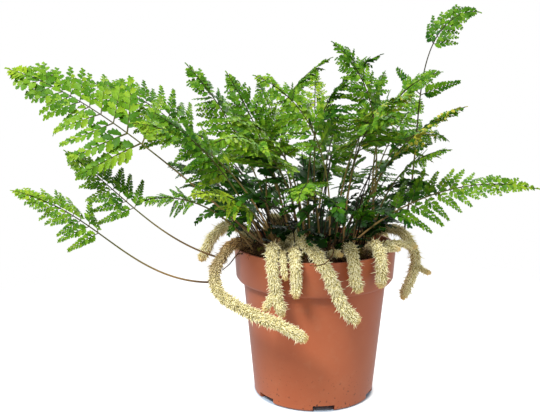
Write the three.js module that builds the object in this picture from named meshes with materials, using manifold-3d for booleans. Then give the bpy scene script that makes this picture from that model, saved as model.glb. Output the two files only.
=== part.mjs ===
// A white rabbit's foot fern in a plain plastic nursery pot.
// Furry rhizomes creep over the potting mix and hang over the rim, and thin wiry stalks
// carry triangular fronds that are cut into toothed leaflets. Millimetres, +Z up.
// The origin is the middle of the pot's underside, on the surface that it stands on.
// The front of the plant faces -Y.
import * as THREE from "three";
import { mergeVertices } from "three/addons/utils/BufferGeometryUtils.js";
import Module from "manifold-3d";

const wasm = await Module();
wasm.setup();

// Driving dimensions of the pot
const POT_HEIGHT = 114;
const RIM_RADIUS = 60;
const RIM_WIDTH = 1.7;
const COLLAR_HEIGHT = 26;
const COLLAR_FOOT_RADIUS = 58.6;
const BODY_TOP_RADIUS = 53.2;
const BASE_RADIUS = 45.2;
const WALL = 1.5;
const FLOOR_TOP = 6.4;
const DRAIN_DEPTH = 4.6;
const PAD_RADIUS = 24;
const FOOT_RING_RADIUS = 38;
const NOTCH_WIDTH = 16;
const NOTCH_COUNT = 6;
const FIRST_NOTCH_DEGREES = -80;
const NOTCH_REACH = 14;
const DRAIN_HOLE_RADIUS = 3.2;
const EDGE_ROUND = 1.4;
const STEP_THICKNESS = 4;
const AROUND = 28;

// Clearances between pieces that touch, and the depth to which stalks stand in their holes
const SEAT_GAP = 0.4;
const STALK_GAP = 0.45;
const STALK_DEPTH = 6;

// Potting mix
const MIX_EDGE_HEIGHT = 108;
const MIX_CROWN = 6;
const MIX_LUMPS = 1.2;
const MIX_SHOULDER = 5;
const MIX_SHOULDER_AT = [-40, -30];
const MIX_SHOULDER_WIDTH = 16;
const MIX_RINGS = [44, 30, 15];

// Rhizomes
const RHIZOME_SIDES = 7;
const RHIZOME_SPACING = 10;
const RHIZOME_GAP = 0.4;
const KNUCKLE = 0.07;
const KNUCKLE_PACE = 1.9;
const TIP_SHARES = [0.5, 0.86];

// Fronds
const STALK_HALF_WIDTH = 0.7;
const RIB_TIP_HALF_WIDTH = 0.4;
const BLADE_THICKNESS = 0.7;
const BLADE_ARCH = 0.4;
const LINE_STEPS = 80;
const STALK_STEP = 30;
const HOLE_REACH = 11;
const LEAST_HOLE_SINE = 0.5;

const radians = THREE.MathUtils.degToRad;

// Turns a three.js geometry into a solid that can be joined and cut.
function solidOf(geometry) {
  const bare = new THREE.BufferGeometry();
  bare.setAttribute("position", geometry.getAttribute("position").clone());
  if (geometry.index) bare.setIndex(geometry.index.clone());
  const merged = mergeVertices(bare, 1e-3);
  const vertProperties = new Float32Array(merged.attributes.position.array);
  const triVerts = new Uint32Array(merged.index.array);
  return new wasm.Manifold(new wasm.Mesh({ numProp: 3, vertProperties, triVerts }));
}

// A solid from corner points and triples of their numbers.
function solidFrom(corners, faces) {
  const geometry = new THREE.BufferGeometry();
  const numbers = corners.flatMap((corner) => corner.toArray());
  geometry.setAttribute("position", new THREE.Float32BufferAttribute(numbers, 3));
  return solidOf(geometry.setIndex(faces));
}

// Turns a solid back into a three.js geometry.
function geometryOf(solid) {
  const mesh = solid.getMesh();
  const corners = new Float32Array(mesh.numVert * 3);
  for (let i = 0; i < mesh.numVert; i++) {
    const start = i * mesh.numProp;
    corners.set(mesh.vertProperties.subarray(start, start + 3), i * 3);
  }
  const geometry = new THREE.BufferGeometry();
  geometry.setAttribute("position", new THREE.BufferAttribute(corners, 3));
  geometry.setIndex(new THREE.BufferAttribute(new Uint32Array(mesh.triVerts), 1));
  return geometry;
}

// A body turned about the Z axis from a profile of radius and height pairs.
function turned(profile) {
  const points = profile.map(([radius, height]) => new THREE.Vector2(radius, height));
  return new THREE.LatheGeometry(points, AROUND).rotateX(Math.PI / 2);
}

// The pot: a tapered thin wall, a stepped collar, and a foot with a raised drain ring,
// notches out of it and a hole in each
function potSolid() {
  const collarFoot = POT_HEIGHT - COLLAR_HEIGHT;
  const profile = [
    [0, 0],
    [PAD_RADIUS, 0],
    [PAD_RADIUS + EDGE_ROUND, DRAIN_DEPTH],
    [FOOT_RING_RADIUS - EDGE_ROUND, DRAIN_DEPTH],
    [FOOT_RING_RADIUS, 0],
    [BASE_RADIUS - EDGE_ROUND, 0],
    [BASE_RADIUS, EDGE_ROUND],
    [BASE_RADIUS + EDGE_ROUND / 4, DRAIN_DEPTH + EDGE_ROUND],
    [BODY_TOP_RADIUS, collarFoot],
    [COLLAR_FOOT_RADIUS - EDGE_ROUND, collarFoot + EDGE_ROUND / 2],
    [COLLAR_FOOT_RADIUS, collarFoot + 2 * EDGE_ROUND],
    [RIM_RADIUS, POT_HEIGHT],
    [RIM_RADIUS - RIM_WIDTH, POT_HEIGHT],
    [COLLAR_FOOT_RADIUS - WALL, collarFoot + STEP_THICKNESS],
    [BODY_TOP_RADIUS - WALL, collarFoot],
    [BASE_RADIUS - WALL, FLOOR_TOP],
    [0, FLOOR_TOP],
  ];
  let pot = solidOf(turned(profile));
  for (let i = 0; i < NOTCH_COUNT; i++) {
    const turn = radians(FIRST_NOTCH_DEGREES + (360 * i) / NOTCH_COUNT);
    const notch = new THREE.BoxGeometry(NOTCH_REACH, NOTCH_WIDTH, 2 * DRAIN_DEPTH);
    notch.translate(FOOT_RING_RADIUS - EDGE_ROUND + NOTCH_REACH / 2, 0, 0).rotateZ(turn);
    const hole = new THREE.CylinderGeometry(DRAIN_HOLE_RADIUS, DRAIN_HOLE_RADIUS, 3 * FLOOR_TOP, 6);
    hole.rotateX(Math.PI / 2).translate((PAD_RADIUS + FOOT_RING_RADIUS) / 2, 0, 0).rotateZ(turn);
    pot = pot.subtract(solidOf(notch)).subtract(solidOf(hole));
  }
  return pot;
}

// Height of the potting mix: a low crown with lumps, and a shoulder at the front left.
function mixHeight(x, y) {
  const out = Math.hypot(x, y) / RIM_RADIUS;
  const lumps = Math.sin(x / 4.8 + 1.3) * Math.cos(y / 5.9 + 0.4) + 0.6 * Math.sin(x / 2.7 - y / 3.4);
  const [shoulderX, shoulderY] = MIX_SHOULDER_AT;
  const away = ((x - shoulderX) ** 2 + (y - shoulderY) ** 2) / MIX_SHOULDER_WIDTH ** 2;
  const shoulder = MIX_SHOULDER * Math.exp(-away);
  return MIX_EDGE_HEIGHT + MIX_CROWN * (1 - out * out) + MIX_LUMPS * lumps * (1 - 0.6 * out) + shoulder;
}

// The potting mix fills the pot and leaves the seat gap at the wall.
function mixSolid() {
  const collarFoot = POT_HEIGHT - COLLAR_HEIGHT;
  const edge = COLLAR_FOOT_RADIUS - WALL - SEAT_GAP;
  const profile = [
    [0, FLOOR_TOP + SEAT_GAP],
    [BASE_RADIUS - WALL - SEAT_GAP, FLOOR_TOP + SEAT_GAP],
    [BODY_TOP_RADIUS - WALL - SEAT_GAP, collarFoot],
    [edge, collarFoot + STEP_THICKNESS + SEAT_GAP],
    ...[edge, ...MIX_RINGS, 0].map((radius) => [radius, POT_HEIGHT]),
  ];
  const body = turned(profile);
  const corners = body.attributes.position;
  for (let i = 0; i < corners.count; i++) {
    const isTop = corners.getZ(i) > POT_HEIGHT - WALL;
    if (isTop) corners.setZ(i, mixHeight(corners.getX(i), corners.getY(i)));
  }
  return solidOf(body);
}

// A tube with knuckles and a rounded tip along a curve. The extra radius is for the clearance of the
// hole that it lies in.
function rhizomeTube([radius, route], extra) {
  const points = route.map((point) => new THREE.Vector3(...point));
  const curve = new THREE.CatmullRomCurve3(points, false, "catmullrom", 0.5);
  const steps = Math.round(curve.getLength() / RHIZOME_SPACING);
  const { tangents, normals, binormals } = curve.computeFrenetFrames(steps, false);
  const corners = [];
  for (let i = 0; i <= steps; i++) {
    const centre = curve.getPointAt(i / steps);
    if (i === 0) centre.addScaledVector(tangents[0], -extra);
    const knuckle = 1 + KNUCKLE * Math.sin(i * KNUCKLE_PACE + radius);
    const size = radius * knuckle * (TIP_SHARES[steps - i] ?? 1) + extra;
    for (let k = 0; k < RHIZOME_SIDES; k++) {
      const turn = (2 * Math.PI * k) / RHIZOME_SIDES;
      const corner = centre.clone().addScaledVector(normals[i], size * Math.cos(turn));
      corners.push(corner.addScaledVector(binormals[i], size * Math.sin(turn)));
    }
  }
  const tip = curve.getPointAt(1).addScaledVector(tangents[steps], radius * TIP_SHARES[0] + extra);
  const root = curve.getPointAt(0).addScaledVector(tangents[0], -extra);
  const tipIndex = corners.push(tip) - 1;
  const rootIndex = corners.push(root) - 1;
  const faces = [];
  for (let k = 0; k < RHIZOME_SIDES; k++) {
    const next = (k + 1) % RHIZOME_SIDES;
    faces.push(rootIndex, next, k);
    for (let a = k, b = next; a < steps * RHIZOME_SIDES; a += RHIZOME_SIDES, b += RHIZOME_SIDES) {
      faces.push(a, b, b + RHIZOME_SIDES, a, b + RHIZOME_SIDES, a + RHIZOME_SIDES);
    }
    faces.push(tipIndex, steps * RHIZOME_SIDES + k, steps * RHIZOME_SIDES + next);
  }
  return solidFrom(corners, faces);
}

// Rhizomes: each starts in the potting mix, and most hang over the rim. Every stem is a radius and
// a route. The first stem is the main one, and a second one branches off it.
const RHIZOMES = {
  front_left_long: [
    [4, [[-26, -40, 104], [-28, -48, 119], [-28.5, -57, 122], [-28, -64, 112], [-26.5, -63, 100],
      [-24, -63, 88], [-21, -63, 77]]],
    [2.9, [[-26, -62, 97], [-30, -64, 88], [-34, -64, 81]]],
  ],
  front_thin: [
    [2.3, [[-21, -44, 104], [-21.5, -52, 117], [-21.5, -59, 119], [-20.5, -64, 112], [-19, -64, 103]]],
  ],
  front_short: [
    [3.7, [[-15, -45, 104], [-14.5, -51, 117], [-13.5, -58, 121], [-12.5, -65, 113], [-12, -65, 102],
      [-12, -65, 91]]],
  ],
  front_diagonal: [
    [4.3, [[-26, -20, 105], [-20, -29, 121], [-13, -39, 126], [-6, -49, 124], [0, -58, 121],
      [5, -65.5, 116], [10, -69, 108], [14, -67, 98], [18, -66, 89], [24, -64, 80], [31, -61, 74]]],
  ],
  front_right_inner: [
    [4.1, [[21, -34, 104], [23, -43, 118], [24.5, -52, 122], [26.5, -60.5, 114], [27.5, -60.5, 103],
      [31, -59, 94]]],
  ],
  front_right_outer: [
    [4.1, [[36, -25, 104], [39, -33, 118], [42.5, -41, 122], [45.5, -47.5, 114], [46, -48, 103],
      [45.5, -48, 94]]],
  ],
  right_thin: [
    [2.5, [[40, -18, 106], [48, -21, 117], [57, -23, 120], [66, -24, 119], [73, -24, 118]]],
  ],
  right_arch: [
    [3.8, [[24, 6, 106], [37, 4, 119], [52, 2, 125], [64, 1, 123], [71, 0, 114], [75, -1, 103], [73, -2, 92],
      [69, -2, 81], [66, -2, 72]]],
    [2.2, [[73, -1, 104], [79, -3, 96], [86, -5, 93]]],
  ],
  left_arch: [
    [4.2, [[-42, 10, 104], [-53, 14, 119], [-65, 18, 123], [-74, 20, 118], [-81, 20, 110], [-85, 19, 101],
      [-89, 18, 94]]],
  ],
  left_loop: [
    [4.1, [[-38, -22, 106], [-48, -27, 119], [-58, -30, 119.5], [-66, -33, 110], [-70, -37, 102],
      [-69.5, -43, 95], [-66, -51, 90], [-58, -59, 86], [-48, -66, 83], [-37, -72, 80], [-25, -76, 77],
      [-14, -78, 72], [-4, -77, 66]]],
  ],
  back_middle: [
    [4.1, [[8, 34, 104], [12, 45, 118], [15, 55, 122], [17, 64, 113], [17, 66, 101], [14, 67, 90]]],
  ],
  back_left: [
    [4, [[-20, 30, 104], [-26, 40, 118], [-33, 50, 122], [-38, 57, 113], [-40, 58, 100], [-38, 60, 87],
      [-33, 62, 76]]],
  ],
  back_right: [
    [3.8, [[32, 28, 104], [39, 35, 118], [47, 41, 122], [54, 46, 112], [58, 48, 100], [63, 47, 90]]],
  ],
  creeping_middle: [
    [3.4, [[-30, 4, 106], [-22, 1, 115.5], [-11, -3, 117], [1, -2, 116.5], [9, 4, 107]]],
  ],
};

function rhizomeSolid(stems, extra) {
  return stems.map((stem) => rhizomeTube(stem, extra)).reduce((whole, tube) => whole.add(tube));
}

// Fronds. Each row is one frond, and the fronds fill nested bowls, so that none crosses another:
// foot x, y and z (null: it stands in the potting mix), heading and its turn along the frond,
// climb at the foot and at the tip, the bow between them, how late it bends, stalk length,
// blade length, roll. Angles are in degrees, and a heading of -90 points to the front.
// A narrow blade also has its breadth, and one that has shed leaflets where that part starts and ends.
const FRONDS = {
  left_upper: [-29, -49, 119, 165, 2, 37, 12, 0, 3, 117, 125, -46],
  left_middle: [-67, -33, 110, 174, 0, 14, 34, 20, 2, 70, 68, -42],
  left_lower: [-70, -43, 95, 190, 2, 0, 12, 36, 2, 88, 66, -38],
  right_lower: [13, -30, null, -14, 16, 50, -16, 0, 1.3, 56, 104, 48, 0.68],
  right_tall: [66, 1, 124, 0, 0, 81, -26, 7, 6, 98, 82, 60, 0.95, 0.12, 0.42],
  low_front_left: [-22, -30, null, -132, 0, 60, -10, 0, 1.6, 54, 56, -16],
  low_front: [4, -38, null, -100, 0, 80, -34, 0, 1.5, 56, 66, 8],
  low_front_right: [26, -26, null, -58, 0, 84, 10, 0, 2.2, 34, 34, 14],
  low_right_back: [38, 14, null, 58, 0, 38, -14, 0, 1.5, 52, 72, -10],
  low_back_right: [22, 36, null, 70, 0, 40, -8, 0, 1.5, 60, 86, 0],
  low_back: [-6, 42, null, 104, 0, 38, -8, 0, 1.5, 62, 84, 0],
  low_back_left: [-34, 28, null, 138, 0, 40, -6, 0, 1.5, 62, 84, 8],
  left_front: [-30, -38, null, -152, -8, 68, 30, 0, 1.5, 78, 60, -44],
  left_small: [-38, -34, null, -164, 0, 58, -20, 0, 1.5, 66, 40, -30],
  left_edge: [-36, -4, null, 172, 0, 66, -10, 0, 1.8, 40, 36, -24],
  front_young: [-4, -24, null, -98, 0, 94, -30, 0, 2, 48, 36, 12],
  front_dark: [14, -44, null, -84, 0, 92, -64, 0, 2, 46, 34, 0],
  right_inner: [18, -2, null, -40, 0, 98, 50, 0, 1.8, 44, 30, 20],
  right_drooping: [44, 10, null, 26, 0, 94, -46, 0, 2, 86, 50, 30],
  wide_front_left: [-24, -14, null, -161, 0, 65, 3, 0, 1.7, 72, 82, -34],
  wide_front: [-8, -26, null, -122, 0, 76, -22, 0, 1.8, 76, 80, -10],
  wide_front_right: [20, -20, null, -72, 0, 82, -16, 0, 1.9, 84, 74, 10],
  wide_right: [38, -16, null, -44, 0, 80, 4, 0, 1.6, 74, 46, 10],
  wide_right_back: [32, 20, null, 56, 0, 68, 14, 0, 1.5, 78, 80, 4],
  wide_back: [4, 30, null, 82, 0, 50, 4, 0, 1.5, 66, 84, 0],
  wide_back_left: [-24, 22, null, 138, 0, 54, 4, 0, 1.5, 66, 84, 0],
  mid_left: [-26, 4, null, 173, 0, 74, 45, 0, 1.5, 74, 84, -40],
  mid_left_high: [-15, -11, null, 174, 0, 78, 56, 0, 1.5, 70, 74, -62],
  mid_front: [-6, -12, null, -131, 0, 82, -8, 0, 1.8, 69, 78, -8],
  mid_front_high: [10, -28, null, 176, 0, 92, 16, 0, 2, 82, 72, -54],
  mid_front_right: [14, -10, null, -60, 0, 82, -2, 0, 1.8, 84, 80, 8],
  mid_right: [28, -8, null, -30, 0, 78, 16, 0, 1.5, 80, 66, 6],
  mid_right_high: [47, -12, null, -18, 0, 98, 6, 0, 2.5, 100, 58, 40],
  mid_back: [0, 20, null, 78, 0, 60, 16, 0, 1.5, 66, 80, 0],
  mid_back_left: [-16, 14, null, 132, 0, 66, 22, 0, 1.5, 66, 84, 0],
  high_back_left: [-14, 42, null, 136, 0, 82, 48, 0, 1.6, 76, 62, 0],
  high_back: [-1, 42, null, 90, 0, 84, 48, 0, 1.6, 90, 58, 0],
  high_back_right: [22, 42, null, 50, 0, 82, 46, 0, 1.6, 78, 70, 0],
  left_high: [-40, 20, null, 174, 0, 60, 4, 0, 2.2, 104, 88, -40],
  crown_left: [-34, 20, null, 5, 0, 96, 22, 0, 2, 88, 76, 0],
  crown_middle: [-4, 30, null, 0, 0, 94, 18, 0, 2, 84, 84, -6],
  crown_right: [38, -2, null, 176, 0, 97, 34, 0, 2.5, 90, 76, -48],
};

// Position and axes at a distance along a frond: forward, across and up from the blade.
function lineOf(row) {
  const [x, y, z, heading, turn, climb, tipClimb, bow, late, stalk, blade, roll] = row;
  const point = new THREE.Vector3(x, y, z ?? mixHeight(x, y) - STALK_DEPTH);
  const tilt = radians(roll);
  const step = (stalk + blade) / LINE_STEPS;
  const stations = [];
  for (let i = 0; i <= LINE_STEPS; i++) {
    const along = i / LINE_STEPS;
    const bend = (tipClimb - climb) * along ** late + bow * Math.sin(Math.PI * along);
    const pitch = radians(climb + bend);
    const yaw = radians(heading + turn * along);
    const level = Math.cos(pitch);
    const forward = new THREE.Vector3(level * Math.cos(yaw), level * Math.sin(yaw), Math.sin(pitch));
    const across = new THREE.Vector3(-Math.sin(yaw), Math.cos(yaw), 0).applyAxisAngle(forward, tilt);
    const up = forward.clone().cross(across);
    stations.push({ point: point.clone(), forward, across, up });
    point.addScaledVector(forward, step);
  }
  return { step, stations };
}

// A point of a frond from its distance along, its distance to the side and its height on the blade,
// whose sides arch down.
function pointOn({ step, stations }, blade, distance, side, lift) {
  const place = THREE.MathUtils.clamp(distance / step, 0, LINE_STEPS);
  const low = Math.min(Math.floor(place), LINE_STEPS - 1);
  const [a, b] = [stations[low], stations[low + 1]];
  const share = place - low;
  const sag = (BLADE_ARCH * side * side) / blade;
  return a.point
    .clone()
    .lerp(b.point, share)
    .addScaledVector(a.across.clone().lerp(b.across, share).normalize(), side)
    .addScaledVector(a.up.clone().lerp(b.up, share).normalize(), lift - sag);
}

// Leaflets: place on the blade, length and half width as shares of the blade's length, the angle to
// the rib, and one edge as shares of the leaflet's length and half width. Only the largest are toothed.
const TOOTHED_EDGE = [[0.24, 1], [0.52, 0.36], [0.62, 0.66]];
const PLAIN_EDGE = [[0.36, 1]];
const LEAFLETS = [
  { place: 0.02, length: 0.4, half: 0.08, angle: 62, edge: TOOTHED_EDGE },
  { place: 0.19, length: 0.34, half: 0.066, angle: 58, edge: PLAIN_EDGE },
  { place: 0.33, length: 0.28, half: 0.056, angle: 56, edge: PLAIN_EDGE },
  { place: 0.45, length: 0.23, half: 0.048, angle: 54, edge: PLAIN_EDGE },
  { place: 0.56, length: 0.18, half: 0.043, angle: 52, edge: PLAIN_EDGE },
];
const LEAFLET_FOOT = 0.012;
const TIP_START = 0.65;
const TIP_EDGE = [[0.12, 0.1], [0.34, 0.035], [0.46, 0.055]];

// One frond as a single closed surface: a square stalk and rib whose side faces open
// into the leaflets, with the same triangles above and below.
function frondSolid(row) {
  const line = lineOf(row);
  const [stalk, blade, , breadth = 1, bareFrom = 1, bareTo = 1] = row.slice(9);
  const corners = [];
  const faces = [];
  const quad = (a, b, c, d) => faces.push(a, b, c, a, c, d);

  // Adds a point of the upper face and the one below it.
  const pair = ([distance, side], half) => {
    const above = corners.push(pointOn(line, blade, distance, side, half)) - 1;
    const below = corners.push(pointOn(line, blade, distance, side, -half)) - 1;
    return [above, below];
  };

  // A flat outline that starts and ends on the rib's corners, as an upper and a lower face
  // with a wall between them. It runs clockwise as seen from above.
  const sheet = (start, rim, finish) => {
    const edge = rim.map((point) => ({ point, pair: pair(point, BLADE_THICKNESS / 2) }));
    const outline = [start, ...edge, finish];
    const flat = outline.map(({ point }) => new THREE.Vector2(...point));
    for (const [a, b, c] of THREE.ShapeUtils.triangulateShape(flat, [])) {
      const clockwise = THREE.ShapeUtils.isClockWise([flat[a], flat[b], flat[c]]);
      const [p, q, r] = (clockwise ? [a, c, b] : [a, b, c]).map((i) => outline[i].pair);
      faces.push(p[0], q[0], r[0], p[1], r[1], q[1]);
    }
    for (let i = 0; i + 1 < outline.length; i++) {
      const [a, b] = [outline[i].pair, outline[i + 1].pair];
      quad(b[0], b[1], a[1], a[0]);
    }
  };

  const ribPoint = (distance) => {
    const along = Math.max(0, (distance - stalk) / blade);
    const half = THREE.MathUtils.lerp(STALK_HALF_WIDTH, RIB_TIP_HALF_WIDTH, along);
    const side = (sign) => ({ point: [distance, sign * half], pair: pair([distance, sign * half], half) });
    return { left: side(1), right: side(-1) };
  };
  const stations = [];
  const stalkSteps = Math.ceil(stalk / STALK_STEP);
  for (let i = 0; i < stalkSteps; i++) stations.push(ribPoint((stalk * i) / stalkSteps));
  const kept = LEAFLETS.filter(({ place }) => place < bareFrom || place >= bareTo);
  for (const leaflet of kept) {
    const middle = stalk + blade * leaflet.place;
    stations.push({ ...ribPoint(middle - blade * LEAFLET_FOOT), leaflet, middle });
    stations.push(ribPoint(middle + blade * LEAFLET_FOOT));
  }
  stations.push(ribPoint(stalk + blade * TIP_START));

  for (let i = 0; i + 1 < stations.length; i++) {
    const [near, far] = [stations[i], stations[i + 1]];
    const [nearLeft, nearRight] = [near.left.pair, near.right.pair];
    const [farLeft, farRight] = [far.left.pair, far.right.pair];
    quad(nearRight[0], farRight[0], farLeft[0], nearLeft[0]);
    quad(nearLeft[1], farLeft[1], farRight[1], nearRight[1]);
    if (!near.leaflet) {
      quad(nearLeft[0], farLeft[0], farLeft[1], nearLeft[1]);
      quad(nearRight[1], farRight[1], farRight[0], nearRight[0]);
      continue;
    }
    const { length, half, angle, edge } = near.leaflet;
    const [run, lean] = [length * blade * breadth, radians(angle)];
    const at = (side, share, wide) => {
      const [ahead, out] = [share * run, wide * half * blade * breadth];
      return [
        near.middle + ahead * Math.cos(lean) + out * Math.sin(lean),
        side * (ahead * Math.sin(lean) - out * Math.cos(lean)),
      ];
    };
    const rimOf = (side) => {
      const nearEdge = edge.map(([share, wide]) => at(side, share, -wide));
      const farEdge = edge.map(([share, wide]) => at(side, share, wide)).reverse();
      return [...nearEdge, at(side, 1, 0), ...farEdge];
    };
    sheet(near.left, rimOf(1), far.left);
    sheet(far.right, rimOf(-1).reverse(), near.right);
  }

  // The end of the blade past the last leaflets, and the cut end of the stalk
  const last = stations.at(-1);
  const rest = blade * (1 - TIP_START);
  const tipPoint = (share, wide) => [last.left.point[0] + rest * share, wide * blade * breadth];
  const leftRim = TIP_EDGE.map(([share, wide]) => tipPoint(share, wide));
  const rightRim = TIP_EDGE.map(([share, wide]) => tipPoint(share, -wide)).reverse();
  sheet(last.left, [...leftRim, tipPoint(1, 0), ...rightRim], last.right);
  const [footLeft, footRight] = [stations[0].left.pair, stations[0].right.pair];
  quad(footLeft[0], footLeft[1], footRight[1], footRight[0]);

  return solidFrom(corners, faces);
}

// The plain hole that a stalk stands in, with its clearance
function stalkHole(row) {
  const { point, forward, across, up } = lineOf(row).stations[0];
  const width = 2 * (STALK_HALF_WIDTH + STALK_GAP);
  const length = STALK_GAP + HOLE_REACH / Math.max(Math.sin(radians(row[5])), LEAST_HOLE_SINE);
  const hole = new THREE.BoxGeometry(width, width, length);
  hole.translate(0, 0, length / 2 - STALK_GAP);
  hole.applyMatrix4(new THREE.Matrix4().makeBasis(across, up, forward).setPosition(point));
  return solidOf(hole);
}

const MATERIALS = {
  pot: new THREE.MeshStandardMaterial({ color: 0xb4603f, roughness: 0.5, metalness: 0 }),
  mix: new THREE.MeshStandardMaterial({ color: 0x3b2a1f, roughness: 1, metalness: 0 }),
  rhizome: new THREE.MeshStandardMaterial({ color: 0xcdbb8d, roughness: 0.95, metalness: 0 }),
  frond: new THREE.MeshStandardMaterial({ color: 0x5a9a35, roughness: 0.6, metalness: 0 }),
};

function named(name, solid, material) {
  const mesh = new THREE.Mesh(geometryOf(solid), material);
  mesh.name = name;
  return mesh;
}

// The plant is put together from the pot up.
const plant = new THREE.Group();
plant.add(named("pot", potSolid(), MATERIALS.pot));
const holes = Object.values(FRONDS).map(stalkHole);
let mix = mixSolid();
for (const [name, stems] of Object.entries(RHIZOMES)) {
  let rhizome = rhizomeSolid(stems, 0);
  for (const hole of holes) rhizome = rhizome.subtract(hole);
  mix = mix.subtract(rhizomeSolid(stems, RHIZOME_GAP));
  plant.add(named(`rhizome_${name}`, rhizome, MATERIALS.rhizome));
}
for (const hole of holes) mix = mix.subtract(hole);
plant.add(named("potting_mix", mix, MATERIALS.mix));
for (const [name, row] of Object.entries(FRONDS)) {
  plant.add(named(`frond_${name}`, frondSolid(row), MATERIALS.frond));
}

export default plant;
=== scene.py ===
# %% [markdown]
# A white rabbit's foot fern in a plastic nursery pot. Its solids already stand at their real size: the
# pot, the potting mix, fourteen furry rhizomes and forty-two fronds. This script makes a finer mesh for
# every solid, in the same place and of the same form, and gives each one its finish. The fine meshes are
# modelled in millimetres, with +Z up and the front facing -Y, and turned into metres at the end.

# %% Load the solids
from collections import namedtuple
from math import atan2, ceil, cos, degrees, exp, hypot, pi, radians, sin, sqrt

import bmesh
import bpy
import numpy as np
from mathutils import Matrix, Vector, noise


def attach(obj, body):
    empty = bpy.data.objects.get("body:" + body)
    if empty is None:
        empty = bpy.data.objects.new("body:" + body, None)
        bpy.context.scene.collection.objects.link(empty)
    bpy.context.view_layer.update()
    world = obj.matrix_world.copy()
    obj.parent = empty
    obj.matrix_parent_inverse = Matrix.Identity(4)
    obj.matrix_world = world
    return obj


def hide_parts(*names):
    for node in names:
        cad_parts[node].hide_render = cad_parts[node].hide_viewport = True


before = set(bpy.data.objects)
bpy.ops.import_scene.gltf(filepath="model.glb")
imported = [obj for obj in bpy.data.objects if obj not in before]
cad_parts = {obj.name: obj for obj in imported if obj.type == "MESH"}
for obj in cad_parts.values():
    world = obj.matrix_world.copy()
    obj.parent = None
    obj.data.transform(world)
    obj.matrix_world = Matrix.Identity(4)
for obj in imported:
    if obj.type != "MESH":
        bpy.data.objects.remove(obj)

scene = bpy.context.scene
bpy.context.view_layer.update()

# %% [markdown]
# Materials are built from nodes, and small helpers keep that readable. One turns a colour as an editor
# shows it, from 0 to 255, into the linear numbers that a shader reads. One adds a node and feeds its
# sockets, each with a constant or with another node's output. The others are the few nodes that come up
# again and again: a colour ramp, a mix, noise, a sum, and an attribute that the mesh carries.

# %% Helpers for materials
WHITE = (1, 1, 1, 1)
BLACK = (0, 0, 0, 1)


def paint(red, green, blue):
    """A colour from 0 to 255 as a display shows it, in the linear values of a shader."""
    shown = np.array([red, green, blue]) / 255
    linear = np.where(shown <= 0.04045, shown / 12.92, ((shown + 0.055) / 1.055) ** 2.4)
    return (*linear.tolist(), 1)


def feed(material, socket, value):
    """Links an output to a socket, or sets the socket's own value."""
    if isinstance(value, bpy.types.NodeSocket):
        material.node_tree.links.new(value, socket)
    else:
        socket.default_value = value


def add_node(material, kind, inputs=None, output=0, **settings):
    """Adds a shader node, feeds its inputs by name or number, and gives back one of its outputs."""
    node = material.node_tree.nodes.new("ShaderNode" + kind)
    for name, value in settings.items():
        setattr(node, name, value)
    for name, value in (inputs or {}).items():
        feed(material, node.inputs[name], value)
    return node.outputs[output]


def ramp(material, share, stops):
    """A colour that changes with a share from 0 to 1, through pairs of place and colour."""
    node = material.node_tree.nodes.new("ShaderNodeValToRGB")
    feed(material, node.inputs["Fac"], share)
    elements = node.color_ramp.elements
    while len(elements) < len(stops):
        elements.new(0.5)
    for element, (place, colour) in zip(elements, stops):
        element.position = place
        element.color = colour
    return node.outputs["Color"]


def between(material, value, low, high):
    """How far a value has come from one limit to another, from black to white."""
    return ramp(material, value, [(low, BLACK), (high, WHITE)])


def mapped(material, value, low, high, to_low=0, to_high=1, curve="LINEAR"):
    """A value carried over from one range to another."""
    inputs = {"Value": value, "From Min": low, "From Max": high, "To Min": to_low, "To Max": to_high}
    return add_node(material, "MapRange", inputs, "Result", interpolation_type=curve)


def mixed(material, share, first, second):
    """Two colours mixed by a share. A Mix node has its colours at 6 and 7, and their mix at 2."""
    return add_node(material, "Mix", {0: share, 6: first, 7: second}, 2, data_type="RGBA")


def mixed_shaders(material, share, first, second):
    """Two shaders mixed by a share."""
    return add_node(material, "MixShader", {0: share, 1: first, 2: second})


def math_of(material, operation, first, second):
    """One sum, product or other operation on two values, kept between 0 and 1."""
    return add_node(material, "Math", {0: first, 1: second}, operation=operation, use_clamp=True)


def noise_of(material, place, scale, detail, roughness=0.55):
    """Smooth noise around 0.5 at a place. The scale is in bumps per metre."""
    inputs = {"Vector": place, "Scale": scale, "Detail": detail, "Roughness": roughness}
    return add_node(material, "TexNoise", inputs, "Fac")


def attribute_of(material, name):
    """The number that the mesh's points carry under a name."""
    return add_node(material, "Attribute", output="Fac", attribute_name=name)


def start_material(name, values):
    """A material with one Principled shader that has these constant values, and Object coordinates."""
    material = bpy.data.materials.new(name)
    material.use_nodes = True
    shader = material.node_tree.nodes["Principled BSDF"]
    for socket, value in values.items():
        shader.inputs[socket].default_value = value
    return material, shader, add_node(material, "TexCoord", output="Object")


def bump(material, shader, height, distance, strength):
    """Raises the surface by a height from 0 to 1 times a distance in metres."""
    inputs = {"Height": height, "Distance": distance, "Strength": strength}
    feed(material, shader.inputs["Normal"], add_node(material, "Bump", inputs))


print("helpers ready, and mid grey is", paint(128, 128, 128)[0])

# %% [markdown]
# The photograph was taken from a little above the leaves, about half a metre away. Three numbers of a
# pinhole camera decide the picture: where it stands, how it is turned and how long its lens is. They
# were found by fitting the ellipses of the pot's rim, collar and foot, whose real sizes are known.

# %% Camera
CAMERA_PLACE = (0, -0.570, 0.250)
CAMERA_DOWN = 11
CAMERA_LEFT = 3.35
CAMERA_LENS = 52.2

camera = bpy.data.objects.new("camera", bpy.data.cameras.new("camera"))
camera.data.lens = CAMERA_LENS
camera.location = CAMERA_PLACE
camera.rotation_euler = (radians(90 - CAMERA_DOWN), 0, radians(CAMERA_LEFT))
scene.collection.objects.link(camera)
scene.camera = camera
print("camera", CAMERA_PLACE, "mm lens", CAMERA_LENS)

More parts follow.
